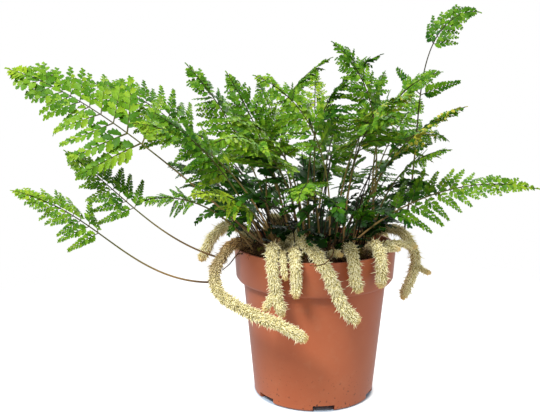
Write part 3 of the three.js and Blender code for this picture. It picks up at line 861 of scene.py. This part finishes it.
dead_roots = []
for number in range(ROOT_COUNT):
    turn = litter_rng.uniform(0, 2 * pi)
    low, high = HANGING_TURNS
    hangs = low < turn < high and litter_rng.random() < HANGING_SHARE
    out = litter_rng.uniform(*(HANGING_RING if hangs else ROOT_RING))
    heading = turn + litter_rng.normal(0, 0.4) if hangs else litter_rng.uniform(0, 2 * pi)
    length = litter_rng.uniform(*(HANGING_LENGTHS if hangs else ROOT_LENGTHS))
    if not hangs and out > RIM_SIDE:
        heading = turn + pi / 2 + litter_rng.normal(0, 0.4)
        length = RIM_ROOT_LENGTH
    route = lying_route(out * cos(turn), out * sin(turn), heading, length)
    dead_roots.append(root(route, litter_rng.uniform(*ROOT_RADII), ROOT_END_RADIUS, 3, 5))
dead_roots += [root(route, 0.55, 0.3, 5, 16) for route in LONG_ROOTS]
print("dead roots:", len(dead_roots))

# %% Moss
MOSS_CUSHIONS = 60
MOSS_RING = (34, 54)
MOSS_SIZES = (2.0, 4.2)
MOSS_FLATNESS = 0.55
MOSS_BLADES = (0.3, 1.3)
moss_rng = np.random.default_rng(29)


def faces_around(points):
    """The faces around some points of a bmesh, each once, in an order that is the same in every run."""
    return list(dict.fromkeys(face for vert in points for face in vert.link_faces))


shape = bmesh.new()
blade_tip = shape.verts.layers.float.new("tuft")
for number in range(MOSS_CUSHIONS):
    turn = moss_rng.uniform(0, 2 * pi)
    out = moss_rng.uniform(*MOSS_RING)
    x, y = out * cos(turn), out * sin(turn)
    ground = rough_height(x, y)
    size = moss_rng.uniform(*MOSS_SIZES)
    flat = Matrix.Translation((x, y, ground)) @ Matrix.Diagonal((size, size, MOSS_FLATNESS * size, 1))
    dome = bmesh.ops.create_icosphere(shape, subdivisions=2, radius=1, matrix=flat)
    for vert in bmesh.ops.poke(shape, faces=faces_around(dome["verts"]))["verts"]:
        outward = Vector((vert.co.x - x, vert.co.y - y, 2 + vert.co.z - ground)).normalized()
        vert.co += outward * moss_rng.uniform(*MOSS_BLADES) + Vector(moss_rng.normal(0, 0.2, 3))
        vert[blade_tip] = 1
moss_mesh = mesh_of(shape, "moss")
print("moss:", len(moss_mesh.polygons), "faces")

# %% Litter and moss materials
ROOT_DARK = paint(48, 30, 20)
ROOT_BROWN = paint(104, 74, 44)
ROOT_TAN = paint(160, 128, 78)
MOSS_DEEP = paint(44, 46, 14)
MOSS_LIGHT = paint(132, 128, 48)
MOSS_BROWN = paint(112, 84, 42)

roots, shader, place = start_material("dead_roots", {"Roughness": 0.85, "Specular IOR Level": 0.2})
stops = [(0.38, ROOT_DARK), (0.56, ROOT_BROWN), (0.68, ROOT_TAN)]
feed(roots, shader.inputs["Base Color"], ramp(roots, noise_of(roots, place, 300, 3), stops))
put_down(joined(dead_roots, "dead_roots"), "dead_roots", "potting_mix", [roots])

moss, shader, place = start_material("moss", {"Roughness": 0.95, "Specular IOR Level": 0.15})
green = ramp(moss, attribute_of(moss, "tuft"), [(0.0, MOSS_DEEP), (0.7, MOSS_LIGHT)])
dry = between(moss, noise_of(moss, place, 70, 3), 0.5, 0.62)
colour = mixed(moss, math_of(moss, "MULTIPLY", dry, 0.75), green, MOSS_BROWN)
feed(moss, shader.inputs["Base Color"], colour)
put_down(moss_mesh, "moss_cushions", "potting_mix", [moss])
print("litter triangles:", triangles("dead_roots"), "and", triangles("moss_cushions"))

# %% [markdown]
# A frond is a wiry stalk, a rib that carries on from it, and leaflets to both sides that are cut again
# into lobed leaflets of their own. Modelling it flat is far easier than in its bent place, so the frond
# is built up flat from three levels: a lobed leaflet, a side branch set with leaflets, and a blade set
# with side branches. The first level is two grids of two rows of faces, with two columns for each lobe.
# They meet at their edges and leave the leaf's thickness between their middle lines, which are the vein.
# Every second point of the edges is pulled in, which leaves the lobes. The attribute "tone" starts at 0.

# %% Lobed leaflet
LEAF_THICKNESS = 0.05
LOBE_DEPTH = 0.36
LOBE_SLANT = 0.13
LEAF_FOLD = 0.3
LEAF_DROOP = 0.1


def mark(mesh, name, value):
    """Sets an attribute of a mesh's points, to one value for all of them or to one for each."""
    attribute = mesh.attributes.get(name) or mesh.attributes.new(name, "FLOAT", "POINT")
    attribute.data.foreach_set("value", np.full(len(mesh.vertices), value, np.float32))


def leaf_width(along, lobes):
    """Half width of a leaflet of length and width 1, and how far a lobe stands out there."""
    body = 0.5 * max(0, sin(pi * along**0.95)) ** 0.8
    notch = abs(sin(pi * (along * lobes + 0.5 * (lobes % 2))))
    return body * (1 - LOBE_DEPTH * (1 - notch)), notch


def leaflet(lobes):
    """A lobed leaflet of length 1 along X with its stalk at the origin, about 1 wide."""
    shape = bmesh.new()
    for sheet in (1, -1):
        made = bmesh.ops.create_grid(shape, x_segments=2 * lobes, y_segments=2, size=1, calc_uvs=True)
        for vert in made["verts"]:
            along, side = (vert.co.x + 1) / 2, round(vert.co.y)
            width, notch = leaf_width(along, lobes)
            forward = LOBE_SLANT * abs(side) * notch * sin(pi * along)
            lift = sheet * LEAF_THICKNESS / 2 if side == 0 and 0.01 < along < 0.99 else 0
            height = LEAF_FOLD * width * abs(side) - LEAF_DROOP * along**2 + lift
            vert.co = (along + forward, side * width, height)
        if sheet < 0:
            bmesh.ops.reverse_faces(shape, faces=faces_around(made["verts"]))
    bmesh.ops.remove_doubles(shape, verts=shape.verts, dist=0.001)
    mesh = mesh_of(shape, "leaflet")
    mark(mesh, "tone", 0)
    return mesh


LEAFLETS = {lobes: leaflet(lobes) for lobes in (2, 3, 4)}
print({lobes: len(mesh.polygons) for lobes, mesh in LEAFLETS.items()})

# %% [markdown]
# The second level is a side branch of length 1: a thin rib and pairs of leaflets along it. The more pairs
# it has, the longer it stays bare at its foot. The leaflets point forward, stand close and get shorter
# towards the end, so that the branch has the outline of a lance. stamp() adds a copy of a template to a
# bmesh, after the copy has been moved to its place. Every leaflet gets a random tone, which the leaf
# material reads.

# %% Side branch
BRANCH_RIB = 0.015
BRANCH_RIB_LENGTH = 0.95
BRANCH_FOOT = -0.01
FOOT_PER_PAIR = 0.011
BRANCH_END = 0.98
CROWDING = 1.35
LEAFLET_ANGLE = 44
LEAFLET_ANGLE_LOSS = 14
LEAFLET_ANGLE_SPREAD = 4
LEAFLET_TWIST = 0.2
LEAFLET_STAGGER = 0.35
LEAFLET_SIZES = (0.9, 1.08)
LEAFLET_FILL = 1.8
BROADEST = 0.55
BROADER_BY_FEWER = 1.5
LONGEST = 0.12
LENGTH_TAPER = 0.6
SHORTEST = 0.03
LOBE_LENGTHS = (0.12, 0.19)
END_LEAFLET = 0.1
CURLS = (-0.2, 0.0, 0.12)
leaf_rng = np.random.default_rng(5)


def stamp(shape, template, place, tone=None):
    """Adds a copy of a template mesh to a bmesh at a place."""
    copy = template.copy()
    copy.transform(place)
    if tone is not None:
        mark(copy, "tone", tone)
    shape.from_mesh(copy)
    bpy.data.meshes.remove(copy)


def rib(length, start_radius, end_radius, sides, cuts):
    """A rod in the second material with the attribute of the leaflets."""
    shape = rod(length, start_radius, end_radius, sides, cuts)
    for face in shape.faces:
        face.material_index = 1
    mesh = mesh_of(shape, "rib")
    mark(mesh, "tone", 0)
    return mesh


def branch(pairs, curl):
    """A side branch of length 1 along X, set with pairs of leaflets. It curls up or down."""
    shape = bmesh.new()
    shape.from_mesh(rib(BRANCH_RIB_LENGTH, BRANCH_RIB, BRANCH_RIB / 3, 3, 5))
    foot = BRANCH_FOOT + FOOT_PER_PAIR * pairs
    reach = BRANCH_END - foot
    broadest = BROADEST + BROADER_BY_FEWER / pairs
    for number in range(pairs):
        left = 1 - number / pairs
        along = foot + reach * (1 - left**CROWDING)
        spacing = reach * CROWDING * left ** (CROWDING - 1) / pairs
        longest = (LONGEST + 1 / pairs) * (1 - along) ** LENGTH_TAPER + SHORTEST
        angle = LEAFLET_ANGLE - LEAFLET_ANGLE_LOSS * along
        for side in (1, -1):
            length = longest * leaf_rng.uniform(*LEAFLET_SIZES)
            width = min(LEAFLET_FILL * spacing * sin(radians(angle)), broadest * length)
            spread = side * radians(angle + leaf_rng.normal(0, LEAFLET_ANGLE_SPREAD))
            start = Matrix.Translation((along + LEAFLET_STAGGER * spacing * (side > 0), 0, 0))
            twist = Matrix.Rotation(leaf_rng.normal(0, LEAFLET_TWIST), 4, "X")
            turn = Matrix.Rotation(spread, 4, "Z") @ twist @ Matrix.Diagonal((length, width, length, 1))
            lobes = 2 + sum(length > limit for limit in LOBE_LENGTHS)
            stamp(shape, LEAFLETS[lobes], start @ turn, leaf_rng.random())
    size = Matrix.Diagonal((END_LEAFLET, END_LEAFLET / 2, END_LEAFLET, 1))
    stamp(shape, LEAFLETS[2], Matrix.Translation((1 - END_LEAFLET, 0, 0)) @ size, leaf_rng.random())
    for vert in shape.verts:
        vert.co.z += curl * vert.co.x**2
    return mesh_of(shape, "branch")


BRANCHES = {pairs: [branch(pairs, curl) for curl in CURLS] for pairs in range(3, 11)}
print({pairs: len(made[0].polygons) for pairs, made in BRANCHES.items()})

# %% [markdown]
# Each frond of the plant is a row of numbers: where its foot stands, which way it heads, how it climbs at
# the foot and at the tip and how late it bends, how long its stalk and blade are, how it is rolled, and
# its age. They are the numbers that the solids were made from, chosen so that the fronds fill nested
# bowls and none crosses another. Only the age is added here. Above 0 it darkens a frond, and below 0 it
# makes it younger and paler. It is partly the frond's real age and partly painted shade: most low, inner
# and back fronds get a high age because the other fronds shade them. A few fronds have more to say: the
# height of a foot that isn't in the mix, a turn or a bow on the way, a narrow blade and the part of it
# that has shed its leaflets, how far the side branches sway from the blade's plane, and how many leaflets
# have faded.

# %% Rows of the fronds
Frond = namedtuple(
    "Frond",
    "x y heading climb tip_climb late stalk blade roll age "
    "z turn bow breadth bare_from bare_to sway faded",
    defaults=(None, 0, 0, 1, 1, 1, 0.34, 0),
)
ROWS = {
    "left_upper": (-29, -49, 165, 37, 12, 3, 117, 125, -46, -0.08),
    "left_middle": (-67, -33, 174, 14, 34, 2, 70, 68, -42, 0.02),
    "left_lower": (-70, -43, 190, 0, 12, 2, 88, 66, -38, -0.06),
    "right_lower": (13, -30, -14, 50, -16, 1.3, 56, 104, 48, -0.02),
    "right_tall": (66, 1, 0, 81, -26, 6, 98, 82, 60, 0.14),
    "low_front_left": (-22, -30, -132, 60, -10, 1.6, 54, 56, -16, -0.2),
    "low_front": (4, -38, -100, 80, -34, 1.5, 56, 66, 8, 0.1),
    "low_front_right": (26, -26, -58, 84, 10, 2.2, 34, 34, 14, 0.24),
    "low_right_back": (38, 14, 58, 38, -14, 1.5, 52, 72, -10, 0.2),
    "low_back_right": (22, 36, 70, 40, -8, 1.5, 60, 86, 0, 0.2),
    "low_back": (-6, 42, 104, 38, -8, 1.5, 62, 84, 0, 0.2),
    "low_back_left": (-34, 28, 138, 40, -6, 1.5, 62, 84, 8, 0.2),
    "left_front": (-30, -38, -152, 68, 30, 1.5, 78, 60, -44, 0.04),
    "left_small": (-38, -34, -164, 58, -20, 1.5, 66, 40, -30, 0.04),
    "left_edge": (-36, -4, 172, 66, -10, 1.8, 40, 36, -24, 0.2),
    "front_young": (-4, -24, -98, 94, -30, 2, 48, 36, 12, -0.28),
    "front_dark": (14, -44, -84, 92, -64, 2, 46, 34, 0, 0.34),
    "right_inner": (18, -2, -40, 98, 50, 1.8, 44, 30, 20, 0.16),
    "right_drooping": (44, 10, 26, 94, -46, 2, 86, 50, 30, 0.04),
    "wide_front_left": (-24, -14, -161, 65, 3, 1.7, 72, 82, -34, -0.08),
    "wide_front": (-8, -26, -122, 76, -22, 1.8, 76, 80, -10, -0.08),
    "wide_front_right": (20, -20, -72, 82, -16, 1.9, 84, 74, 10, 0.04),
    "wide_right": (38, -16, -44, 80, 4, 1.6, 74, 46, 10, 0.04),
    "wide_right_back": (32, 20, 56, 68, 14, 1.5, 78, 80, 4, 0.04),
    "wide_back": (4, 30, 82, 50, 4, 1.5, 66, 84, 0, 0.12),
    "wide_back_left": (-24, 22, 138, 54, 4, 1.5, 66, 84, 0, 0.12),
    "mid_left": (-26, 4, 173, 74, 45, 1.5, 74, 84, -40, 0.0),
    "mid_left_high": (-15, -11, 174, 78, 56, 1.5, 70, 74, -62, 0.04),
    "mid_front": (-6, -12, -131, 82, -8, 1.8, 69, 78, -8, -0.1),
    "mid_front_high": (10, -28, 176, 92, 16, 2, 82, 72, -54, 0.04),
    "mid_front_right": (14, -10, -60, 82, -2, 1.8, 84, 80, 8, 0.04),
    "mid_right": (28, -8, -30, 78, 16, 1.5, 80, 66, 6, 0.04),
    "mid_right_high": (47, -12, -18, 98, 6, 2.5, 100, 58, 40, 0.04),
    "mid_back": (0, 20, 78, 60, 16, 1.5, 66, 80, 0, 0.04),
    "mid_back_left": (-16, 14, 132, 66, 22, 1.5, 66, 84, 0, 0.04),
    "high_back_left": (-14, 42, 136, 82, 48, 1.6, 76, 62, 0, 0.08),
    "high_back": (-1, 42, 90, 84, 48, 1.6, 90, 58, 0, -0.12),
    "high_back_right": (22, 42, 50, 82, 46, 1.6, 78, 70, 0, 0.04),
    "left_high": (-40, 20, 174, 60, 4, 2.2, 104, 88, -40, 0.04),
    "crown_left": (-34, 20, 5, 96, 22, 2, 88, 76, 0, 0.1),
    "crown_middle": (-4, 30, 0, 94, 18, 2, 84, 84, -6, 0.14),
    "crown_right": (38, -2, 176, 97, 34, 2.5, 90, 76, -48, 0.04),
}
MORE = {
    "left_upper": {"z": 119, "turn": 2, "sway": 0.14},
    "left_middle": {"z": 110, "bow": 20, "sway": 0.14},
    "left_lower": {"z": 95, "turn": 2, "bow": 36, "sway": 0.14},
    "right_lower": {"turn": 16, "breadth": 0.68, "sway": 0.14},
    "right_tall": {"z": 124, "bow": 7, "sway": 0.14, "breadth": 0.95, "bare_from": 0.12, "bare_to": 0.42},
    "left_front": {"turn": -8},
    "left_high": {"sway": 0.14},
    "front_young": {"faded": 0.8},
    "mid_right": {"faded": 0.7},
    "mid_front_right": {"faded": 0.4},
}
FRONDS = {name: Frond(*row, **MORE.get(name, {})) for name, row in ROWS.items()}
print("fronds:", len(FRONDS))

# %% [markdown]
# The third level is the blade. Its first five pairs of side branches stand where the solid has its five
# pairs of leaflets, with the same lengths and angles. Past them, where the solid has one toothed tip,
# more pairs follow, each shorter than the one before, until single leaflets close the blade. In a narrow
# blade the branches are shorter and point further forward.

# %% Places of the side branches, as shares of the blade's length
STATIONS = [
    # place, length, angle, pairs of leaflets
    (0.02, 0.40, 64, 10),
    (0.13, 0.37, 62, 9),
    (0.23, 0.335, 60, 9),
    (0.32, 0.295, 58, 8),
    (0.40, 0.26, 56, 7),
    (0.47, 0.228, 54, 6),
    (0.535, 0.206, 52, 6),
    (0.595, 0.186, 50, 5),
    (0.65, 0.168, 49, 4),
    (0.70, 0.150, 48, 4),
    (0.745, 0.134, 46, 3),
    (0.785, 0.118, 44, 3),
    (0.818, 0.102, 42, 0),
    (0.848, 0.088, 40, 0),
    (0.875, 0.074, 38, 0),
    (0.90, 0.060, 36, 0),
    (0.922, 0.048, 34, 0),
]
FROND_TIP = 0.945
RIB_END = 0.97
TIP_LEAFLET_WIDTH = 0.56
STATION_SHIFT = (-0.008, 0.014)
BRANCH_SIZES = (0.94, 1.05)
YAW_SPREAD = 3
DROOP = 0.6
STALK_RADIUS = 0.8
RIB_TIP_RADIUS = 0.28
STALK_SIDES = 6
LINE_STEPS = 80


def flat_frond(frond, seed):
    """A whole frond, flat, with its foot at the origin and its tip along X, in millimetres."""
    draw = np.random.default_rng(seed)
    shape = bmesh.new()
    length = frond.stalk + RIB_END * frond.blade
    shape.from_mesh(rib(length, STALK_RADIUS, RIB_TIP_RADIUS, STALK_SIDES, LINE_STEPS - 1))
    kept = [station for station in STATIONS if not frond.bare_from <= station[0] < frond.bare_to]
    for place, share, angle, pairs in kept:
        angle *= (1 + frond.breadth) / 2
        for side in (1, -1):
            start = frond.stalk + frond.blade * (place + draw.uniform(*STATION_SHIFT) * (side > 0))
            size = frond.blade * share * frond.breadth * draw.uniform(*BRANCH_SIZES)
            yaw = Matrix.Rotation(side * radians(angle + draw.normal(0, YAW_SPREAD)), 4, "Z")
            droop = Matrix.Rotation(draw.normal(DROOP * frond.sway, DROOP * frond.sway), 4, "Y")
            roll = Matrix.Rotation(draw.normal(0, frond.sway), 4, "X")
            turn = Matrix.Translation((start, 0, 0)) @ yaw @ droop @ roll
            if pairs:
                template = BRANCHES[pairs][draw.integers(len(CURLS))]
                stamp(shape, template, turn @ Matrix.Scale(size, 4))
            else:
                broad = Matrix.Diagonal((size, TIP_LEAFLET_WIDTH * size, size, 1))
                stamp(shape, LEAFLETS[3], turn @ broad, draw.random())
    end = Matrix.Translation((frond.stalk + frond.blade * FROND_TIP, 0, 0))
    rest = frond.blade * (1 - FROND_TIP)
    stamp(shape, LEAFLETS[2], end @ Matrix.Diagonal((rest, rest / 3, rest, 1)), draw.random())
    return mesh_of(shape, "frond")


trial = flat_frond(FRONDS["left_upper"], 1)
print("a frond has", len(trial.polygons), "faces")

# %% [markdown]
# A frond's line follows its row: the climb changes from the foot to the tip, and the heading turns. The
# flat frond is then laid on the line point by point, while the sides of its blade arch down. The
# attribute "reach" keeps how far along the frond a point is.

# %% Line of a frond
STALK_DEPTH = 6
BLADE_ARCH = 0.4


def line_of(frond):
    """Points along a frond's middle, the axes across and up from its blade, and the points' step."""
    along = np.linspace(0, 1, LINE_STEPS + 1)
    bend = (frond.tip_climb - frond.climb) * along**frond.late
    pitch = np.radians(frond.climb + bend + frond.bow * np.sin(pi * along))
    yaw = np.radians(frond.heading + frond.turn * along)
    zero = np.zeros_like(yaw)
    forward = np.stack([np.cos(pitch) * np.cos(yaw), np.cos(pitch) * np.sin(yaw), np.sin(pitch)], axis=1)
    level = np.stack([-np.sin(yaw), np.cos(yaw), zero], axis=1)
    across = level * cos(radians(frond.roll)) + np.cross(forward, level) * sin(radians(frond.roll))
    step = (frond.stalk + frond.blade) / LINE_STEPS
    z = mix_height(frond.x, frond.y) - STALK_DEPTH if frond.z is None else frond.z
    steps = np.vstack([np.zeros(3), np.cumsum(forward[:-1] * step, axis=0)])
    return np.array([frond.x, frond.y, z]) + steps, across, np.cross(forward, across), step


def grown(mesh, frond):
    """A flat frond moved onto its line, with its age, which is partly painted shade. The sides of the
    blade arch down.
    """
    points, across, up, step = line_of(frond)
    flat = coordinates(mesh)
    place = flat[:, 0] / step
    low = np.clip(place.astype(int), 0, LINE_STEPS - 1)
    share = (place - low)[:, None]
    middle, side_axis, up_axis = [
        values[low] * (1 - share) + values[low + 1] * share for values in (points, across, up)
    ]
    lift = flat[:, 2] - BLADE_ARCH * flat[:, 1] ** 2 / frond.blade
    bent = middle + side_axis * flat[:, 1:2] + up_axis * lift[:, None]
    mesh.vertices.foreach_set("co", bent.astype(np.float32).ravel())
    mark(mesh, "reach", flat[:, 0] / (frond.stalk + frond.blade))
    mark(mesh, "age", frond.age)
    return mesh


grown(trial, FRONDS["left_upper"])
print("the upper left tip reaches x =", round(float(coordinates(trial)[:, 0].min())))

# %% [markdown]
# Fresh fern leaf is a yellow-green that turns darker and bluer with age. The tone of the leaflet, a broad
# noise over the plant, the distance towards the tip of the frond and a paler edge are added up, the
# frond's age is taken off, and the sum is laid on one ramp. The age also carries painted shade, so the
# darkest stops of the ramp paint the shade that falls on fronds and shaded leaves deep in the plant.
# Faded leaflets and a dark vein are mixed over it. A little subsurface light stands for the light that
# shines through so thin a leaf.

# %% Leaf
LEAF_SHADE = paint(8, 30, 4)
LEAF_DARK = paint(24, 68, 4)
LEAF_MID = paint(68, 117, 10)
LEAF_LIGHT = paint(112, 152, 32)
LEAF_YOUNG = paint(144, 170, 34)
LEAF_FADED = paint(190, 176, 56)
LEAF_VEIN = paint(28, 48, 8)

TONE_WEIGHT = 0.3
REACH_WEIGHT = 0.12
PATCH_WEIGHT = 0.6
EDGE_WEIGHT = 0.17
VEIN_WEIGHT = 0.6
LEAF = {
    "Roughness": 0.5,
    "Specular IOR Level": 0.14,
    "Subsurface Weight": 0.1,
    "Subsurface Scale": 0.002,
    "Subsurface Radius": (0.6, 1.0, 0.15),
}

leaf, shader, place = start_material("fern_leaf", LEAF)
tone = attribute_of(leaf, "tone")
on_leaflet = add_node(leaf, "UVMap")
across = add_node(leaf, "SeparateXYZ", {0: on_leaflet}, "Y")
from_middle = add_node(leaf, "Math", {0: across, 1: 0.5}, operation="SUBTRACT")
from_middle = add_node(leaf, "Math", {0: from_middle}, operation="ABSOLUTE")
to_side = math_of(leaf, "MULTIPLY", from_middle, 2.0)
to_end = math_of(leaf, "POWER", add_node(leaf, "SeparateXYZ", {0: on_leaflet}, "X"), 3.0)
edge = between(leaf, math_of(leaf, "MAXIMUM", to_side, to_end), 0.35, 1.0)
share = math_of(leaf, "MULTIPLY", tone, TONE_WEIGHT)
for part, weight in (
    (attribute_of(leaf, "reach"), REACH_WEIGHT),
    (noise_of(leaf, place, 24, 3), PATCH_WEIGHT),
    (edge, EDGE_WEIGHT),
):
    share = math_of(leaf, "ADD", share, math_of(leaf, "MULTIPLY", part, weight))
# Taking the age off darkens older fronds, and it also paints the shade on fronds deep in the plant.
share = math_of(leaf, "SUBTRACT", share, attribute_of(leaf, "age"))
stops = [(0.12, LEAF_SHADE), (0.42, LEAF_DARK), (0.66, LEAF_MID), (0.84, LEAF_LIGHT), (1.0, LEAF_YOUNG)]
colour = ramp(leaf, share, stops)
faded = math_of(leaf, "MULTIPLY", attribute_of(leaf, "faded"), between(leaf, tone, 0.55, 0.6))
colour = mixed(leaf, faded, colour, LEAF_FADED)
vein = ramp(leaf, from_middle, [(0.0, WHITE), (0.1, BLACK)])
colour = mixed(leaf, math_of(leaf, "MULTIPLY", vein, VEIN_WEIGHT), colour, LEAF_VEIN)
feed(leaf, shader.inputs["Base Color"], colour)
bump(leaf, shader, noise_of(leaf, place, 900, 2), 0.00015, 0.6)
print("leaf material has", len(leaf.node_tree.nodes), "nodes")

# %% [markdown]
# The stalks are wiry and smooth. They are purplish brown at the foot, darkened there to paint the shade
# low in the plant, and turn green in the blade, which the distance along the frond decides. Old stalks
# are nearly black, and the frond's age mixes the same near-black into living stalks deep in the plant as
# painted shade.

# %% Stalk
# The foot colour is the stalk's purplish brown, darkened to paint the shade low in the plant.
STALK_FOOT = paint(72, 50, 34)
STALK_BROWN = paint(148, 118, 72)
STALK_GREEN = paint(92, 92, 38)
RIB_DARK = paint(40, 44, 14)
STALK_DEAD_AND_SHADED = paint(26, 18, 12)

stalk, shader, place = start_material("fern_stalk", {"Roughness": 0.5, "Specular IOR Level": 0.2})
wobble = math_of(stalk, "MULTIPLY", noise_of(stalk, place, 60, 2), 0.25)
share = math_of(stalk, "ADD", attribute_of(stalk, "reach"), wobble)
stops = [(0.14, STALK_FOOT), (0.32, STALK_BROWN), (0.58, STALK_GREEN), (0.9, RIB_DARK)]
# The age mixes in the near-black of dead stalks. On living stalks deep in the plant this is painted
# shade.
old = math_of(stalk, "MULTIPLY", attribute_of(stalk, "age"), 2.5)
feed(stalk, shader.inputs["Base Color"], mixed(stalk, old, ramp(stalk, share, stops), STALK_DEAD_AND_SHADED))
print("stalk material has", len(stalk.node_tree.nodes), "nodes")

# %% [markdown]
# Now each frond is built flat, laid on its line and put down in place of its solid. Each draws from a
# seed of its own, so that no two are alike and changing one leaves the others as they are. How many of
# its leaflets have faded goes with it as an attribute.

# %% Put the fronds down
FIRST_SEED = 100

for number, (name, frond) in enumerate(FRONDS.items()):
    mesh = grown(flat_frond(frond, FIRST_SEED + number), frond)
    mark(mesh, "faded", frond.faded)
    put_down(mesh, "leafy_" + name, "frond_leaf", [leaf, stalk], "frond_" + name)
print("frond triangles:", triangles("leafy_"))

# %% [markdown]
# The heart of the plant is dark. Small shaded leaves grow there, and between the living stalks stand old
# ones that have lost their blades. A shaded leaf is one side branch on a thin stalk, bent like a frond,
# and its high age darkens its leaflets and stalk, which paints the shade it stands in. An old stalk is a
# bare, nearly straight rod. Both grow from random places on the mix and lean outwards.
# One small round leaf stands up behind the diagonal rhizome.

# %% Shaded leaves and old stalks
SHADE_STOREYS = [
    # count, reach, stalk lengths, blade lengths, pairs of leaflets, age, which here paints the shade of
    # the heart
    (58, 47, (7, 32), (18, 30), (5, 7), 0.56),
    (36, 34, (36, 70), (30, 46), (6, 8), 0.26),
]
SHADE_CLIMBS = (50, 90), (-40, 30)
OLD_CLIMBS = (60, 95), (30, 90)
HEADING_SPREAD = 28
ROLL_SPREAD = 25
SHADE_LATE = 1.6
OLD_STALKS = 26
OLD_AGE = 0.5
OLD_REACH = 40
OLD_LENGTHS = (24, 84)
LOST_BLADE = 8
# Radius at the foot and at the end, sides, and cuts of the thin stalks.
SHADE_STALK = (0.45, 0.3, 4, 14)
OLD_STALK = (0.55, 0.35, 5, 14)
SMALL_STALK = (0.4, 0.3, 5, 8)
SMALL_LEAF_STALK = [(10, -42, 112), (9.5, -44, 117), (8.6, -46, 122.5)]
SMALL_LEAF_TURN = Matrix(((-0.77, 0.62, 0.16), (-0.24, -0.05, -0.97), (0.59, 0.78, -0.19))).normalized()
SMALL_LEAF_SIZE = 9.5
SMALL_LEAF_TONE = 0.3
SMALL_LEAF_AGE = 0.3
shade_rng = np.random.default_rng(11)


def random_frond(reach, climbs, tip_climbs, stalk, blade, age):
    """The row of a frond that stands at a random place on the mix and leans away from the pot's axis."""
    turn = shade_rng.uniform(0, 2 * pi)
    out = reach * sqrt(shade_rng.random())
    heading = degrees(turn) + shade_rng.normal(0, HEADING_SPREAD)
    climb, tip_climb = shade_rng.uniform(*climbs), shade_rng.uniform(*tip_climbs)
    roll = shade_rng.normal(0, ROLL_SPREAD)
    x, y = out * cos(turn), out * sin(turn)
    return Frond(x, y, heading, climb, tip_climb, SHADE_LATE, stalk, blade, roll, age)


shaded = []
for count, reach, stalk_lengths, blade_lengths, pairs, age in SHADE_STOREYS:
    for number in range(count):
        lengths = shade_rng.uniform(*stalk_lengths), shade_rng.uniform(*blade_lengths)
        frond = random_frond(reach, *SHADE_CLIMBS, *lengths, age)
        flat = bmesh.new()
        flat.from_mesh(rib(frond.stalk, *SHADE_STALK))
        template = BRANCHES[shade_rng.integers(*pairs)][shade_rng.integers(len(CURLS))]
        stamp(flat, template, Matrix.Translation((frond.stalk, 0, 0)) @ Matrix.Scale(frond.blade, 4))
        shaded.append(grown(mesh_of(flat, "shaded_leaf"), frond))
for number in range(OLD_STALKS):
    length = shade_rng.uniform(*OLD_LENGTHS)
    frond = random_frond(OLD_REACH, *OLD_CLIMBS, length, LOST_BLADE, OLD_AGE)
    shaded.append(grown(rib(frond.stalk, *OLD_STALK), frond))
samples, distances = smooth_route(SMALL_LEAF_STALK)
mesh = rib(distances[-1], *SMALL_STALK)
bend_along(mesh, samples, distances)
flat = bmesh.new()
flat.from_mesh(mesh)
place = Matrix.Translation(SMALL_LEAF_STALK[-1]) @ SMALL_LEAF_TURN.to_4x4()
stamp(flat, LEAFLETS[4], place @ Matrix.Scale(SMALL_LEAF_SIZE, 4), SMALL_LEAF_TONE)
mesh = mesh_of(flat, "small_leaf")
mark(mesh, "reach", 0.5)
mark(mesh, "age", SMALL_LEAF_AGE)
mesh = joined([*shaded, mesh], "shaded_leaves")
mark(mesh, "faded", 0)
put_down(mesh, "shaded_leaves", "frond_leaf", [leaf, stalk])
print("shaded leaves and old stalks:", triangles("shaded_leaves"), "triangles")

# %% Sizes and the last line
print("triangles in all:", sum(counts.values()))
